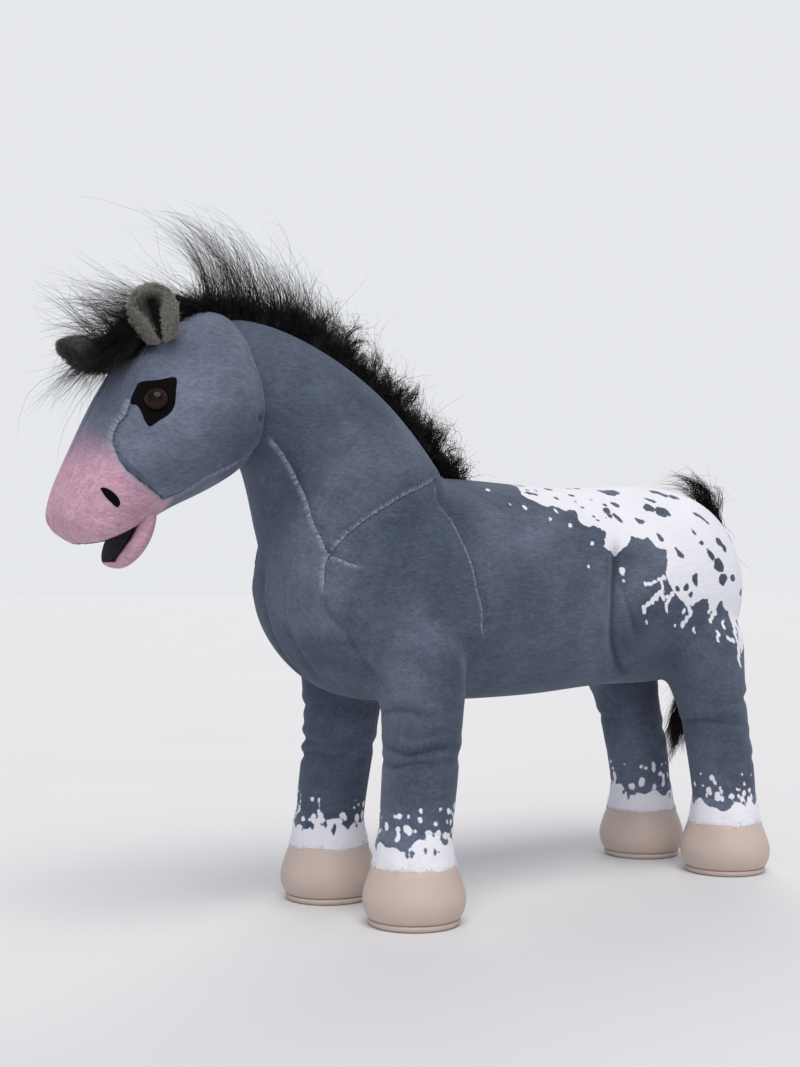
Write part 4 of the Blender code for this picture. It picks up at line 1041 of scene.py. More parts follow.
def on_crest(share):
    """Place, way to the poll and way out of the crest, at shares of its length from the withers."""
    where = share * crest_run[-1]
    spot = np.stack([np.interp(where, crest_run, crest_spots[:, i]) for i in range(3)], axis=1)
    onward = unit(np.stack([np.interp(where, crest_run, crest_ways[:, i]) for i in range(3)], axis=1))
    out = np.stack([np.zeros(len(where)), -onward[:, 2], onward[:, 1]], axis=1)
    return spot, onward, out * np.sign(out[:, 2:3])


def sideways(amount):
    return np.stack([amount, np.zeros(len(amount)), np.zeros(len(amount))], axis=1)


def band_height(share):
    return 0.0045 + 0.0135 * ramp(share, 0.0, 0.27) + 0.008 * ramp(share, 0.40, 0.75) + 0.0015 * np.sin(share * 19)


def mane_core(name, first, last):
    """The solid mass of pile that the eye sees as black between the fibres near the skin."""
    share = np.linspace(first, last, 32)
    spot, _, out = on_crest(share)
    high = band_height(share) * 0.62 * ramp(share, -0.01, 0.05) * (1 - 0.8 * ramp(share, 0.84, 1.0))
    wide = 0.0095 * (0.35 + 0.65 * ramp(share, 0.0, 0.15)) * (1 - 0.5 * ramp(share, 0.95, 1.0))
    around = np.linspace(0, 2 * math.pi, 16, endpoint=False)
    points = []
    for i in range(len(share)):
        for turn in around:
            ragged = 1 + 0.10 * math.sin(i * 1.9 + turn * 3) + 0.06 * math.sin(i * 4.3 - turn * 5)
            up = (math.sin(turn) * 0.5 + 0.5) * (high[i] + 0.006) * ragged - 0.006
            points.append(spot[i] + out[i] * up + np.array((math.cos(turn) * wide[i] * ragged, 0, 0)))
    faces = [[r * 16 + i, r * 16 + (i + 1) % 16, r * 16 + 16 + (i + 1) % 16, r * 16 + 16 + i]
             for r in range(len(share) - 1) for i in range(16)]
    faces += [list(range(15, -1, -1)), [(len(share) - 1) * 16 + i for i in range(16)]]
    made = new_piece(name, points, faces)
    turn_outward(made)
    return made


def mane_band(name, first, last, number, each):
    """The dense short locks of the mane, which lean and curl toward the poll."""
    share = np.sort(chance.uniform(first, last, number))
    spot, onward, out = on_crest(share)
    side = chance.uniform(-1, 1, number)
    length = band_height(share) * chance.uniform(0.80, 1.25, number)
    start = spot + sideways(side * 0.0075) - out * (0.002 + 0.003 * side ** 2)[:, None]
    curl = chance.uniform(-0.25, 0.75, number)[:, None]
    lean = sideways(side * 0.30 + chance.normal(size=number) * 0.12)
    long = length[:, None]
    guides = np.stack([start, start + (out + lean * 0.9) * long * 0.40,
                       start + (out * 0.85 + lean * 1.3 + onward * curl * 0.35) * long * 0.80,
                       start + (out * 0.95 + lean * 1.5 + onward * curl) * long], axis=1)
    owners = np.repeat(np.arange(number), each)
    return locks(name, guides, owners, (0.0030, 0.0036, 0.0030), 0.0034, 0.00026, stray=0.22)


def mane_wisps(name, first, last, number, each, low, high):
    """Long thin locks with air between them, blown up and toward the poll."""
    share = np.sort(chance.uniform(first, last, number))
    spot, onward, out = on_crest(share)
    side = chance.uniform(-1, 1, number)
    long = (low + (high - low) * ramp(share, 0.45, 0.95)) * chance.uniform(0.6, 1.1, number)
    start = spot + sideways(side * 0.006) + out * 0.004
    sweep = chance.uniform(0.30, 0.80, number)[:, None]
    lean = sideways(side * 0.18 + chance.normal(size=number) * 0.10)
    back = np.array((0, 0.10, 0))
    long = long[:, None]
    guides = np.stack([start, start + (out * 0.36 + lean * 0.4 + back) * long,
                       start + (out * 0.72 + lean + onward * sweep * 0.30) * long,
                       start + (out * 0.86 + lean * 1.2 + onward * sweep * 1.05) * long], axis=1)
    owners = np.repeat(np.arange(number), each)
    return locks(name, guides, owners, (0.0026, 0.0040, 0.0026), 0.0040, 0.00015, knots=10, stray=0.3,
                 shortest=0.4, wave=0.0022)


def mane_curls(name, first, last, number, each):
    """Loose curled ends on the near and far side and behind the low half of the mane."""
    share = np.sort(chance.uniform(first, last, number))
    spot, onward, out = on_crest(share)
    side = np.where(chance.uniform(size=number) < 0.5, 1.0, -1.0) * chance.uniform(0.2, 1.0, number)
    high = band_height(share)
    long = (chance.uniform(0.014, 0.034, number) * (0.45 + 0.55 * ramp(share, 0.02, 0.22)))[:, None]
    start = spot + sideways(side * 0.009) + out * (high * chance.uniform(0.15, 0.95, number))[:, None]
    turn = chance.uniform(-0.6, 1.3, number)[:, None]
    lean = sideways(side)
    fall = chance.uniform(-0.9, 0.5, number)[:, None]
    guides = np.stack([start, start + (out * 0.35 + lean * 0.35) * long,
                       start + (out * (0.75 + 0.3 * fall) + lean * 0.6 + onward * turn * 0.55) * long,
                       start + (out * (0.35 + fall * 0.6) + lean * 0.6 + onward * turn) * long], axis=1)
    owners = np.repeat(np.arange(number), each)
    return locks(name, guides, owners, (0.0012, 0.0014, 0.0012), 0.0024, 0.00022, knots=8, stray=0.3,
                 shortest=0.5, wave=0.0022)


def black_pile(piece, material, body, node=None):
    finished(piece, material, [node] if node else [])
    # The mane's halves stay in place, as the neck's cover pieces do, and other pile rides its own body
    if body == "neck_low":
        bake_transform(piece)
    elif body == "neck_top":
        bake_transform(piece)
    else:
        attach(piece, body)


black_pile(mane_core("mane_base", 0.0, 0.52), black_hair, "neck_low", "mane")
black_pile(mane_core("mane_base_top", 0.48, 1.0), black_hair, "neck_top")
for number, (first, last) in enumerate(((0.0, 0.26), (0.24, 0.51), (0.49, 0.76), (0.74, 1.0))):
    black_pile(mane_band(f"mane_band_{number + 1}", first, last, 150, 19), black_hair,
               "neck_low" if number < 2 else "neck_top")
black_pile(mane_wisps("mane_wisps_poll", 0.55, 1.0, 120, 9, 0.036, 0.090), black_hair, "neck_top")
black_pile(mane_wisps("mane_wisps_neck", 0.15, 0.70, 44, 15, 0.030, 0.062), black_hair, "neck_low")
black_pile(mane_curls("mane_curls", 0.02, 0.66, 130, 15), brown_hair, "neck_low")


def forelock_part(name, number, each, kind):
    """Hair between the ears, blown forward over the forehead."""
    u = chance.uniform(-0.3 if kind == "mass" else 0, 1.2, number)
    side = chance.uniform(-1, 1, number)
    start = np.stack([side * (0.009 + 0.008 * u) - 0.002, -0.340 - 0.062 * u,
                      0.4745 - 0.027 * np.abs(u) ** 1.6 * (u > 0)], axis=1)
    start[:, 2] -= 0.004 * side ** 2
    long = chance.uniform(0.75, 1.1, number)[:, None]
    if kind == "mass":
        rise, run = 0.015 - 0.006 * u, 0.030 + 0.030 * (1.2 - u)
        drop = 0.004 - 0.036 * chance.uniform(0, 1, number) * ramp(u, -0.2, 0.7)
    elif kind == "upper":
        rise, drop, run = np.full(number, 0.018), chance.uniform(-0.004, 0.050, number), 0.066 + 0.040 * (1 - u)
    else:
        rise, run = np.full(number, 0.006), 0.026 + 0.036 * chance.uniform(0.4, 1.3, number)
        drop = -0.020 - 0.036 * chance.uniform(0, 1, number)
    drift = side * 0.014
    zero = np.zeros(number)
    guides = np.stack([start, start + np.stack([drift * 0.3, zero - 0.012, rise], axis=1) * long,
                       start + np.stack([drift * 0.8, -run * 0.62, rise * 0.9 + drop * 0.35], axis=1) * long,
                       start + np.stack([drift * 1.3, -run, drop], axis=1) * long], axis=1)
    owners = np.repeat(np.arange(number), each)
    thin = 0.00023 if kind == "mass" else 0.00018
    knots, stray = (8, 0.10) if kind == "mass" else (9, 0.28)
    return locks(name, guides, owners, (0.0030, 0.0036, 0.0016), 0.0040, thin, knots=knots, stray=stray,
                 shortest=0.55, wave=0.0014)


black_pile(forelock_part("forelock_mass", 240, 22, "mass"), black_hair, "head", "forelock")
black_pile(forelock_part("forelock_upper_wisps", 50, 13, "upper"), black_hair, "head")
black_pile(forelock_part("forelock_low_wisps", 84, 14, "low"), black_hair, "head")

tail_line = [(0, 0.214, 0.340), (0, 0.223, 0.347), (0, 0.234, 0.341), (0, 0.241, 0.318), (-0.002, 0.243, 0.280),
             (-0.003, 0.235, 0.238), (-0.003, 0.217, 0.200), (-0.003, 0.197, 0.165), (-0.003, 0.182, 0.132),
             (-0.003, 0.174, 0.106)]


def tail_fall(name, number, each, first=0.0):
    """Hair that falls behind the rump and blows in between the hind legs."""
    spots, run = resampled(tail_line, 0.004)
    begin = (first + (0.76 - first) * chance.uniform(0, 1, number)) * run[-1]
    span = chance.uniform(0.070, 0.105, number)
    at = [np.minimum(begin + span * share, run[-1] + 0.004 * share) for share in (0, 0.33, 0.67, 1.0)]
    guides = np.stack([np.stack([np.interp(a, run, spots[:, i]) for i in range(3)], axis=1) for a in at], axis=1)
    shift = chance.normal(size=(number, 3)) * np.array((0.0050, 0.0022, 0.003))
    guides[:, :3] += shift[:, None, :]
    guides[:, 3] += shift * 1.3 + chance.normal(size=(number, 3)) * np.array((0.004, 0.003, 0.004))
    owners = np.repeat(np.arange(number), each)
    return locks(name, guides, owners, (0.0020, 0.0014, 0.0020), 0.0024, 0.00026, knots=8, wave=0.0014)


def tail_arch(name, number, each):
    """The loose tuft that springs from the dock, up and forward over the rump."""
    start = np.array((0, 0.222, 0.338)) + chance.normal(size=(number, 3)) * np.array((0.0040, 0.0050, 0.0020))
    kind = chance.uniform(0, 1, number)
    run = (0.012 + 0.062 * kind ** 1.4) * chance.uniform(0.8, 1.1, number)
    rise = 0.014 + 0.019 * np.sin(kind * 2.2) + chance.normal(size=number) * 0.003
    drift = chance.normal(size=number) * 0.006
    zero = np.zeros(number)
    guides = np.stack([start, start + np.stack([drift * 0.3, zero + 0.006, rise * 0.75], axis=1),
                       start + np.stack([drift * 0.8, -run * 0.35, rise * 1.25], axis=1),
                       start + np.stack([drift * 1.2, -run, rise * 0.92], axis=1)], axis=1)
    owners = np.repeat(np.arange(number), each)
    return locks(name, guides, owners, (0.0016, 0.0016, 0.0010), 0.0030, 0.00020, knots=10, stray=0.2,
                 shortest=0.6, wave=0.0015)


black_pile(tail_fall("tail_hair_fall", 120, 26), black_hair, "tail", "tail_hair")
black_pile(tail_fall("tail_hair_ends", 46, 20, 0.5), brown_hair, "tail")
black_pile(tail_arch("tail_hair_arch", 26, 16), black_hair, "tail")

# ---------------------------------------------------------------- head
cheek_outline = (
    (-0.4150, 0.4180), (-0.4200, 0.4010), (-0.4240, 0.3915), (-0.4283, 0.3865), (-0.4320, 0.3783),
    (-0.4333, 0.3716), (-0.4306, 0.3598), (-0.4256, 0.3520), (-0.4174, 0.3457), (-0.4070, 0.3397),
    (-0.3924, 0.3325), (-0.3760, 0.3390), (-0.3590, 0.3510), (-0.3390, 0.3600), (-0.3240, 0.3680),
    (-0.3090, 0.3780), (-0.3070, 0.3910), (-0.3090, 0.4030), (-0.3150, 0.4190), (-0.3220, 0.4350),
    (-0.3340, 0.4510), (-0.3500, 0.4600), (-0.3650, 0.4670), (-0.3900, 0.4700),
)
ROOF_POINT = (-0.390, 0.320)
ROOF_SLOPE = math.tan(math.radians(22))
JAW_CORNER = (-0.4108, 0.3122)
JAW_WAY = (-0.895, 0.446)
EYE_SPOT = (-0.4054, 0.4037)
EYE_RADIUS = 0.0091


def head_skin():
    rows = [(0, -0.312 - a * 0.1445, 0.4335 - d * 0.1315, deep * 0.0675, wide * 0.054, lean)
            for a, d, deep, wide, lean in head_shares]
    head = loft("head_cover", rows, RING, 5)
    points, normals = points_of(head), normals_of(head)
    x, y, z = points.T
    side = np.abs(x)
    lift = np.zeros(len(points))
    cheek = inside(y, z, cheek_outline)
    lower = np.maximum(1 - ramp(z, 0.398, 0.425), ramp(y, -0.395, -0.365))
    lift += 0.0024 * ramp(cheek, -0.0012, 0.0035) * lower * ramp(side, 0.004, 0.014)
    lift += 0.0026 * bell(np.hypot(y + 0.358, z - 0.396), 0.034) * ramp(side, 0.004, 0.02)
    lift -= 0.0016 * bell(cheek, 0.0022) * (1 - ramp(z, 0.398, 0.412)) * ramp(side, 0.004, 0.012) \
        * (1 - ramp(y, -0.37, -0.33))
    # Sockets round the eyes, a brow above them and round nostrils
    lift -= 0.0022 * bell(np.hypot(y - EYE_SPOT[0], z - EYE_SPOT[1]), 0.013) * ramp(side, 0.01, 0.02)
    lift += 0.0014 * bell(np.hypot(y + 0.402, z - 0.426), 0.010) * ramp(side, 0.01, 0.02)
    lift += 0.0016 * bell(np.hypot(y + 0.441, z - 0.338), 0.013) * ramp(side, 0.01, 0.02)
    lift -= 0.0030 * bell(np.hypot(y + 0.318, z - 0.397), 0.005) * ramp(side, 0.01, 0.02)
    lift += 0.0018 * bell(np.hypot(y + 0.326, z - 0.402), 0.006) * ramp(side, 0.01, 0.02)
    # A sewn line down the middle of the face
    lift -= 0.0008 * bell(x, 0.0022) * ramp(-y, 0.40, 0.42)
    points += normals * lift[:, None]
    # The roof of the mouth is flat inside the lip
    x, y, z = points.T
    roof = ROOF_POINT[1] + ROOF_SLOPE * (y - ROOF_POINT[0])
    before_hinge = ramp(-y, 0.384, 0.394)
    under = (z < roof) & (y < -0.384)
    points[:, 2] = np.where(under, z + (roof - z) * before_hinge, z)
    set_points(head, points)
    return head


def lay_face(head):
    """Attributes of the face: pink, black and seams."""
    points = points_of(head)
    x, y, z = points.T
    side = np.abs(x)
    cheek = inside(y, z, cheek_outline)
    front = ramp(-cheek, -0.0004, 0.0012)
    fade = 0.386 - z + 0.0035 * np.sin(side * 130 + 1) + 0.003 * np.sin(y * 210)
    pink = ramp(fade, 0.000, 0.036) * front
    low_edge = ramp(-y, 0.372, 0.384) * ramp(0.3365 - z, 0.0, 0.004)
    pink = np.maximum(pink, low_edge * front) * ramp(-y, 0.380, 0.389)
    put(head, "blush", pink)
    roof = ROOF_POINT[1] + ROOF_SLOPE * (y - ROOF_POINT[0])
    down = normals_of(head)[:, 2] < -0.25
    lip = (z < roof + 0.0010) & (y < -0.398)
    put(head, "mouth_black", np.where(lip & down, 1, 0))
    seam = np.where(side > 0.008, -cheek, 0.05)
    seam = np.where((z < 0.405) & (y < -0.33), seam, 0.05)
    put(head, "seam_side", np.clip(seam, -0.05, 0.05))
    put(head, "seam_run", y * 1.3 + z)
    put(head, "rest_place", points, "FLOAT_VECTOR")
    # A small pucker in the cheek
    gap = np.hypot(y + 0.3165, z - 0.3975)
    dent = bell(gap, 0.0028) * 0.0022 - bell(gap - 0.0050, 0.0030) * 0.0009 * ramp(y + 0.3165, -0.006, 0.004)
    points[:, 0] -= np.sign(x) * dent * ramp(side, 0.02, 0.03)
    set_points(head, points)


def plain(made):
    """A plush piece with no seam: its pattern follows its own points."""
    points = points_of(made)
    put(made, "rest_place", points, "FLOAT_VECTOR")
    put(made, "seam_side", np.full(len(points), 0.05))
    put(made, "seam_run", np.zeros(len(points)))
    return made


head_cover = head_skin()
lay_face(head_cover)
head_tree = tree_of(head_cover)
finished(head_cover, face_plush, ["head", "muzzle", "mouth_lining"])
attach(head_cover, "head")

# Each row: reach and height of its middle, half depth and half width in mm, and its lean
jaw_shares = ((-0.3955, 0.3300, 9.5, 23, -50), (-0.3990, 0.3200, 11.0, 27.5, -60), (-0.4034, 0.3085, 11.5, 29.5, -63),
              (-0.4079, 0.2996, 11.5, 28, -63), (-0.4126, 0.2919, 10.5, 24, -63), (-0.4166, 0.2860, 8.5, 17.5, -63),
              (-0.4199, 0.2827, 5.0, 10, -63))


def jaw_skin():
    """The soft lower lip: pink outside and black on its padded inner face."""
    rows = [(0, y, z, deep / 1000, wide / 1000, lean) for y, z, deep, wide, lean in jaw_shares]
    jaw = loft("lower_lip_cover", rows, RING, 4)
    points = points_of(jaw)
    _, y, z = points.T
    proud = np.maximum((y - JAW_CORNER[0]) * JAW_WAY[0] + (z - JAW_CORNER[1]) * JAW_WAY[1], 0)
    points[:, 1:] -= 0.8 * proud[:, None] * np.array(JAW_WAY)
    set_points(jaw, points)
    normals = normals_of(jaw)
    facing = normals[:, 1] * JAW_WAY[0] + normals[:, 2] * JAW_WAY[1]
    put(jaw, "blush", np.full(len(points), 1.0))
    fallen = -(points[:, 1] - JAW_CORNER[0]) * JAW_WAY[1] + (points[:, 2] - JAW_CORNER[1]) * JAW_WAY[0]
    limit = np.interp(fallen, (-0.010, 0.010, 0.020, 0.028, 0.034), (0.0245, 0.0225, 0.0180, 0.012, 0.005))
    black = ramp(facing, 0.45, 0.60) * ramp(-points[:, 1], 0.398, 0.402)
    put(jaw, "mouth_black", black * ramp(limit - points[:, 0], -0.0012, 0.0012)
        * ramp(limit + points[:, 0], -0.0012, 0.0012))
    return plain(jaw)


jaw_cover = finished(jaw_skin(), face_plush, ["lower_jaw"])
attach(jaw_cover, "jaw")

almond = ((-0.4153, 0.4138), (-0.4124, 0.4176), (-0.4021, 0.4191), (-0.3906, 0.4212), (-0.3919, 0.4117),
          (-0.3944, 0.3996), (-0.3990, 0.3927), (-0.4057, 0.3881), (-0.4121, 0.3835), (-0.4150, 0.3879),
          (-0.4163, 0.3938), (-0.4179, 0.3991), (-0.4199, 0.4022), (-0.4185, 0.4068))
comma = ((-0.4452, 0.3386), (-0.4418, 0.3389), (-0.4366, 0.3358), (-0.4323, 0.3316), (-0.4306, 0.3274),
         (-0.4328, 0.3247), (-0.4374, 0.3279), (-0.4421, 0.3328))


def felt_patch(name, outline, sign, thick):
    """A felt shape cut to an outline in side view, laid on the face, with a rounded edge."""
    outline = resampled(list(outline) + [outline[0]], 0.0007)[0][:-1]
    for _ in range(4):
        outline = (np.roll(outline, 1, axis=0) + 2 * outline + np.roll(outline, -1, axis=0)) / 4
    middle = outline.mean(0)
    count = len(outline)
    points = []
    for share, rise in ((1.0, 0.0), (0.985, 0.6), (0.95, 0.9), (0.86, 1.0), (0.66, 1.0), (0.44, 1.0), (0.22, 1.0)):
        for spot in middle + (outline - middle) * share:
            hit = head_tree.ray_cast(Vector((sign * 0.2, spot[0], spot[1])), Vector((-sign, 0, 0)))
            points.append(hit[0] + hit[1] * (rise * thick - 0.0002))
    hit = head_tree.ray_cast(Vector((sign * 0.2, middle[0], middle[1])), Vector((-sign, 0, 0)))
    points.append(hit[0] + hit[1] * thick)
    faces = [[r * count + i, r * count + (i + 1) % count, (r + 1) * count + (i + 1) % count, (r + 1) * count + i]
             for r in range(6) for i in range(count)]
    faces += [[6 * count + i, 6 * count + (i + 1) % count, 7 * count] for i in range(count)]
    made = new_piece(name, points, faces)
    out = sum(p.normal.x * p.area for p in made.data.polygons)
    if out * sign < 0:
        made.data.flip_normals()
    wall = made.modifiers.new("felt thickness", "SOLIDIFY")
    wall.thickness = thick * 0.7
    wall.offset = -1
    return settle(made)


def eye_dome(side, sign):
    """A domed disc with a rolled edge, turned to face out of its socket."""
    spot, outward = head_tree.ray_cast(Vector((sign * 0.2, *EYE_SPOT)), Vector((-sign, 0, 0)))[:2]
    bpy.ops.mesh.primitive_uv_sphere_add(segments=48, ring_count=32, radius=EYE_RADIUS, location=(0, 0, 0))
    made = bpy.context.object
    made.name = f"eye_{side}_dome"
    made.select_set(False)
    points = points_of(made)
    put(made, "from_pupil", np.hypot(points[:, 0], points[:, 1]) / EYE_RADIUS)
    points[:, 2] *= np.where(points[:, 2] > 0, 0.62, 0.35)
    face = (outward + Vector((0, -0.08, 0.02))).normalized()
    turn = face.to_track_quat("Z", "Y").to_matrix()
    points = points @ np.array(turn).T + np.array(spot + outward * 0.0012)
    set_points(made, points)
    made.data.shade_smooth()
    return made


for side, sign in SIDES:
    patch = felt_patch(f"eye_{side}_felt", almond, sign, 0.0011)
    finished(patch, felt, [f"eye_patch_{side}"])
    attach(patch, "head")
    mark = felt_patch(f"nostril_{side}_felt", comma, sign, 0.0009)
    finished(mark, felt, [f"nostril_{side}"])
    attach(mark, "head")
    dome = eye_dome(side, sign)
    finished(dome, eye_glass, [f"eye_{side}"])
    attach(dome, "head")

# ---------------------------------------------------------------- ears
# Each row: share of the height, half width in mm, depth in mm, how far round the wall reaches in degrees, and
# where its back lies in mm
ear_rows = ((-0.10, 10.0, 14.0, 169, 6.0), (0.00, 12.0, 15.5, 169, 7.0), (0.12, 14.6, 17.0, 168, 8.0),
            (0.26, 17.0, 18.0, 166, 9.0), (0.40, 18.6, 18.5, 163, 9.5), (0.53, 19.2, 18.5, 156, 9.5),
            (0.66, 18.8, 17.0, 142, 9.0), (0.78, 17.4, 14.5, 122, 8.0), (0.88, 15.0, 11.0, 104, 6.5),
            (0.96, 11.6, 7.5, 88, 5.0), (1.02, 7.0, 4.5, 72, 3.5))


EAR_LOW = 0.0175
EAR_TALL = 0.0389
EAR_COLUMNS = 19
EAR_FIBRES = 6500


def ear_shell(side, sign, outward, forward, facing, tall):
    """A cupped leaf with a thick rolled rim, whose walls close to a slit toward its root."""
    points = []
    for share, wide, deep, reach, back in ear_rows:
        for u in np.linspace(-1, 1, EAR_COLUMNS):
            turn = math.radians(reach) * u
            points.append((wide / 1000 * math.sin(turn), (back - deep * (1 - math.cos(turn)) / 2) / 1000,
                           -EAR_LOW + EAR_TALL * share - 0.0010 * u * u))
    faces = [[at, at + 1, at + EAR_COLUMNS + 1, at + EAR_COLUMNS]
             for r in range(len(ear_rows) - 1) for at in range(r * EAR_COLUMNS, (r + 1) * EAR_COLUMNS - 1)]
    made = new_piece(f"ear_{side}_cover", points, faces)
    if made.data.polygons[9].normal.y < 0:
        made.data.flip_normals()
    wall = made.modifiers.new("padding", "SOLIDIFY")
    wall.thickness = 0.0046
    wall.offset = -1
    settle(made)
    soften(made, 2)
    local, normals = points_of(made), normals_of(made)
    share = (local[:, 2] + EAR_LOW) / EAR_TALL
    local[:, 2] *= tall
    axis_y = np.interp(share, [row[0] for row in ear_rows], [(row[4] - row[2] / 2) / 1000 for row in ear_rows])
    axis = np.stack([local[:, 0], local[:, 1] - axis_y, np.zeros(len(local))], axis=1)
    inward = -(unit(axis) * normals).sum(1)
    lined = np.maximum(ramp(inward, -0.35, 0.25), ramp(-normals[:, 1], 0.05, 0.40))
    # Down the fold in the middle shade is painted, which the material reads as lining above 1
    ear_fold_shade = bell(local[:, 0] * 1000, 6.5) * (1 - ramp(share, 0.66, 0.92)) * ramp(inward, 0.0, 0.5)
    put(made, "lining", lined + ear_fold_shade)
    tilt = Matrix.Rotation(sign * math.radians(outward), 3, "Y") @ \
        Matrix.Rotation(math.radians(forward), 3, "X") @ Matrix.Rotation(sign * math.radians(facing), 3, "Z")
    tilt = np.array(tilt)
    middle = np.array((sign * 0.029, -0.388, 0.44214)) + tilt @ np.array((0, 0, 0.030 * tall))
    set_points(made, local @ tilt.T + middle)
    plain(made)
    # Long pile on the inside and the rim
    pick_from = np.nonzero((lined > 0.4) & (local[:, 2] > -0.0205))[0]
    count = EAR_FIBRES
    weight = (1 - ear_fold_shade[pick_from]) ** 3 + 0.01
    pick = chance.choice(pick_from, count, p=weight / weight.sum())
    place, ways = points_of(made)[pick], normals_of(made)[pick]
    roots = place + chance.normal(size=(count, 3)) * 0.0007 - ways * 0.0004
    upright = tilt @ np.array((0, -0.25, 0.8))
    ways_in = unit(ways + upright * 0.25 + chance.normal(size=(count, 3)) * 0.22)
    ends = unit(ways * 0.45 + upright * 0.5 + chance.normal(size=(count, 3)) * 0.45)
    # Fibres in the fold take their dark root colour as painted shade
    tones = np.clip(chance.uniform(0.9, 2.2, count) * (1 - 0.97 * ear_fold_shade[pick]), 0.03, 2.2)
    return made, roots, ways_in, ends, tones


# The far ear's pile is the copy darkened as painted shade
for side, sign, turns, pile, long in (("left", 1, (6, 25, 50, 1.0), ear_fibre, 0.0028),
                                      ("right", -1, (75, 54, 48, 1.15), shaded_ear_fibre, 0.0034)):
    shell, roots, ways, ends, tones = ear_shell(side, sign, *turns)
    fluff = fibres(f"ear_{side}_fluff", roots, ways, ends, long * chance.uniform(0.6, 1.3, len(roots)), 0.00021,
                   clump=0.3, clumps=nearest_clump(roots, 420), tones=tones)
    finished(shell, ear_plush, [f"ear_{side}"])
    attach(shell, f"ear_{side}")
    finished(fluff, pile, [f"ear_{side}_lining"])
    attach(fluff, f"ear_{side}")

# ---------------------------------------------------------------- tail stub, cuffs and feet
bpy.ops.mesh.primitive_uv_sphere_add(segments=32, ring_count=20, radius=0.0125, location=(0, 0, 0))
stub = bpy.context.object
stub.name = "tail_stub_cover"
stub.select_set(False)
stub_points = points_of(stub)
stub_points[:, 2] = np.where(stub_points[:, 2] > 0, stub_points[:, 2] * 2.0, stub_points[:, 2])
stub_points[:, :2] *= (1 - 0.35 * ramp(stub_points[:, 2], 0.004, 0.027))[:, None]
lean = np.array(Matrix.Rotation(-math.radians(55), 3, "X"))
set_points(stub, stub_points @ lean.T + np.array((0, 0.204, 0.331)))
stub.data.shade_smooth()
put(plain(stub), "lining", np.zeros(len(stub.data.vertices)))
finished(stub, ear_plush, ["tail_dock"])
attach(stub, "tail")

hoof_profile = ((0.0350, 0.0050), (0.0372, 0.0060), (0.0392, 0.0094), (0.0409, 0.0145), (0.0417, 0.0200),
                (0.0411, 0.0262), (0.0388, 0.0330), (0.0368, 0.0390), (0.0345, 0.0445), (0.0322, 0.0485),
                (0.0295, 0.0500), (0.0275, 0.0490), (0.0270, 0.0300), (0.0330, 0.0080))
sole_profile = ((0.0000, 0.0000), (0.0326, 0.0000), (0.0352, 0.0006), (0.0366, 0.0020), (0.0371, 0.0034),
                (0.0367, 0.0048), (0.0352, 0.0054), (0.0000, 0.0054))
cuff_profile = ((0.0262, 0.0795), (0.0292, 0.0735), (0.0305, 0.0670), (0.0314, 0.0610), (0.0323, 0.0550),
                (0.0330, 0.0500), (0.0334, 0.0466), (0.0330, 0.0452), (0.0318, 0.0455), (0.0302, 0.0480),
                (0.0285, 0.0600), (0.0256, 0.0780))


def turned_piece(name, profile, steps=96, closed=False):
    """A profile of (radius, height), spun round and closed where it meets the axis."""
    work = bmesh.new()
    spots = [work.verts.new((r, 0, z)) for r, z in profile]
    threads = [work.edges.new(pair) for pair in zip(spots, spots[1:])]
    if closed:
        threads.append(work.edges.new((spots[-1], spots[0])))
    bmesh.ops.spin(work, geom=spots + threads, axis=(0, 0, 1), cent=(0, 0, 0), steps=steps,
                   angle=2 * math.pi, use_merge=True)
    bmesh.ops.remove_doubles(work, verts=work.verts, dist=1e-5)
    mesh = bpy.data.meshes.new(name)
    work.to_mesh(mesh)
    work.free()
    mesh.shade_smooth()
    made = bpy.data.objects.new(name, mesh)
    bpy.context.scene.collection.objects.link(made)
    turn_outward(made)
    return made


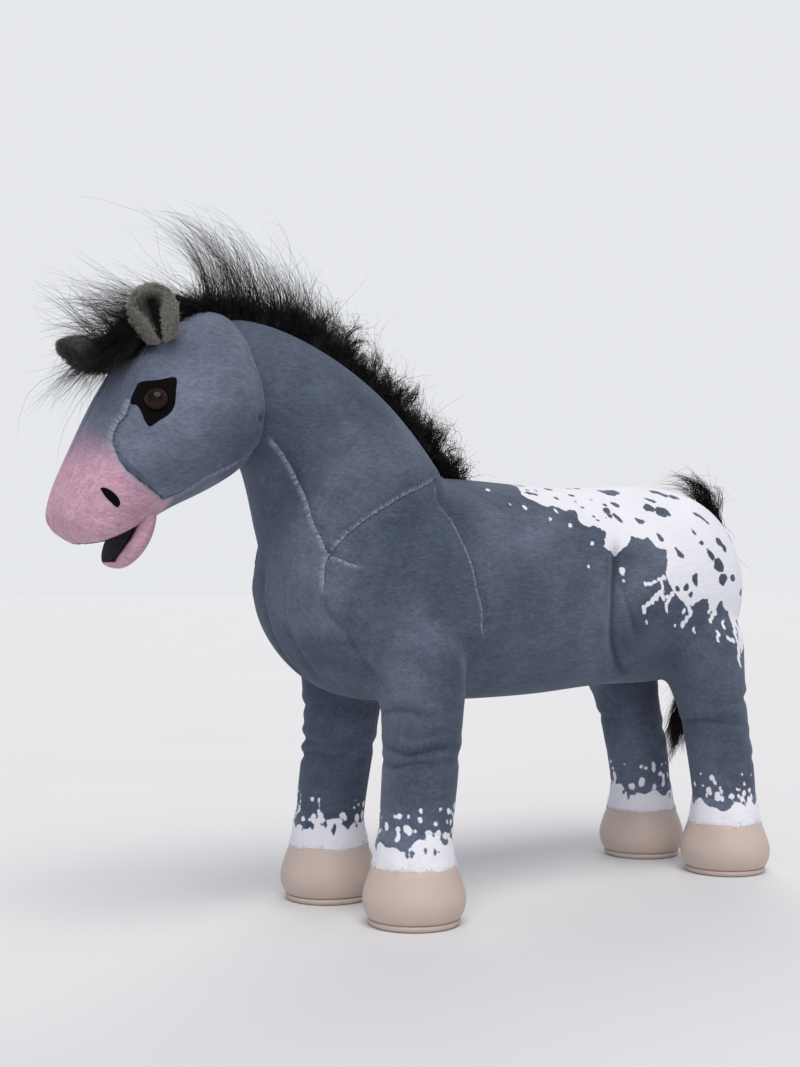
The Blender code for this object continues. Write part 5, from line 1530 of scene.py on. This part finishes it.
CUFF_FIBRES = 3000
cuffs = []
for label, facing, foot_x, _, shares in ENDS:
    for side, sign in SIDES:
        leg = f"{label}_{side}"
        centre = np.array((sign * foot_x, facing * FOOT_REACH, 0))
        hoof = soften(turned_piece(f"{leg}_hoof_cover", hoof_profile, closed=True), 1)
        points = points_of(hoof)
        turn = np.arctan2(points[:, 1], points[:, 0])
        points[:, :2] *= (1 + 0.005 * np.sin(turn * 5 + sign) * ramp(points[:, 2], 0.02, 0.04))[:, None]
        set_points(hoof, points + centre)
        finished(hoof, leather, [f"{leg}_hoof"])
        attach(hoof, f"{leg}_lower")
        sole = turned_piece(f"{leg}_sole_pad", sole_profile)
        set_points(sole, points_of(sole) + centre)
        finished(sole, leather, [f"{leg}_sole"])
        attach(sole, f"{leg}_lower")
        cuff = soften(turned_piece(f"{leg}_cuff_cover", cuff_profile, closed=True), 1)
        points = points_of(cuff)
        turn = np.arctan2(points[:, 1], points[:, 0])
        loose = 1 - ramp(points[:, 2], 0.047, 0.070)
        points[:, :2] *= (1 + 0.010 * loose * np.sin(turn * 5 + sign * 2 + facing)
                          + 0.006 * loose * np.sin(turn * 11 + sign))[:, None]
        points[:, 2] += 0.0009 * loose * np.sin(turn * 4 + facing)
        set_points(cuff, points + centre)
        put(plain(cuff), "crease_shade", np.zeros(len(points)))
        foot = leg_pattern[len(cuffs)]
        put(cuff, "white", leg_coat(foot, points_of(cuff), np.zeros(len(points))))
        cuffs.append(cuff)
        points, normals = points_of(cuff), normals_of(cuff)
        outer = np.nonzero((points[:, 2] < 0.0590) & ((normals[:, :2] * (points - centre)[:, :2]).sum(1) > 0))[0]
        weight = np.exp(-(points[outer, 2] - 0.0452) / 0.0035)
        pick = chance.choice(outer, CUFF_FIBRES, p=weight / weight.sum())
        every = (CUFF_FIBRES, 3)
        roots = points[pick] + chance.normal(size=every) * 0.0006 - normals[pick] * 0.0004
        falling = np.array((0, 0, -1.0))
        ways = unit(normals[pick] * 0.6 + falling * 0.8 + chance.normal(size=every) * 0.22)
        ends = unit(normals[pick] * 0.2 + falling + chance.normal(size=every) * 0.40)
        fluff = fibres(f"{leg}_cuff_fluff", roots, ways, ends, chance.uniform(0.0014, 0.0034, CUFF_FIBRES),
                       0.00019, clump=0.4, clumps=nearest_clump(roots, 220))
        finished(cuff, cuff_plush, [f"{leg}_cuff"])
        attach(cuff, f"{leg}_lower")
        finished(fluff, white_fibre, [])
        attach(fluff, f"{leg}_lower")

# The wires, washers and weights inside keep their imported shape
for name, node in frame["nodes"].items():
    if node.hide_render:
        continue
    node.data.materials.clear()
    node.data.materials.append(weight_iron if "weight" in name else wire_steel)

# ---------------------------------------------------------------- floor, world and lamps
floor_material, floor_tree, floor_shader = new_material("pale_studio_floor")
floor_grain = noise(floor_tree, own_place(floor_tree), 3.0)
finish_shader(floor_tree, floor_shader, between(floor_tree, floor_grain, "dcdddf", "e2e2e4"), Roughness=0.9)
floor = new_piece("studio_floor", [(-30, -30, 0), (30, -30, 0), (30, 30, 0), (-30, 30, 0)], [[0, 1, 2, 3]])
floor.data.materials.append(floor_material)

world = bpy.data.worlds.new("studio")
bpy.context.scene.world = world
world.use_nodes = True
sky = world.node_tree
background = sky.nodes["Background"]
rays = add(sky, "ShaderNodeLightPath")
seen = worked(sky, "MAXIMUM", rays.outputs["Is Camera Ray"], rays.outputs["Is Glossy Ray"])
seen = worked(sky, "MAXIMUM", seen, rays.outputs["Is Transmission Ray"])
sky.links.new(between(sky, seen, "aab0ba", "e6e8eb"), background.inputs["Color"])
background.inputs["Strength"].default_value = 1.0


def sun(name, way, energy, soft, colour):
    """A soft even light that comes from one way."""
    light = bpy.data.lights.new(name, "SUN")
    light.energy = energy
    light.angle = math.radians(soft)
    light.color = linear(colour)[:3]
    made = bpy.data.objects.new(name, light)
    bpy.context.scene.collection.objects.link(made)
    made.rotation_euler = Vector(way).to_track_quat("Z", "Y").to_euler()


sun("key_light", (0.45, -0.25, 0.85), 1.75, 35, "fff8f0")
sun("fill_light", (0.75, -0.65, 0.25), 0.45, 60, "f0f4ff")
sun("back_light", (-0.6, 0.5, 0.6), 0.7, 40, "fff6ea")

bpy.context.scene.view_settings.view_transform = "Standard"
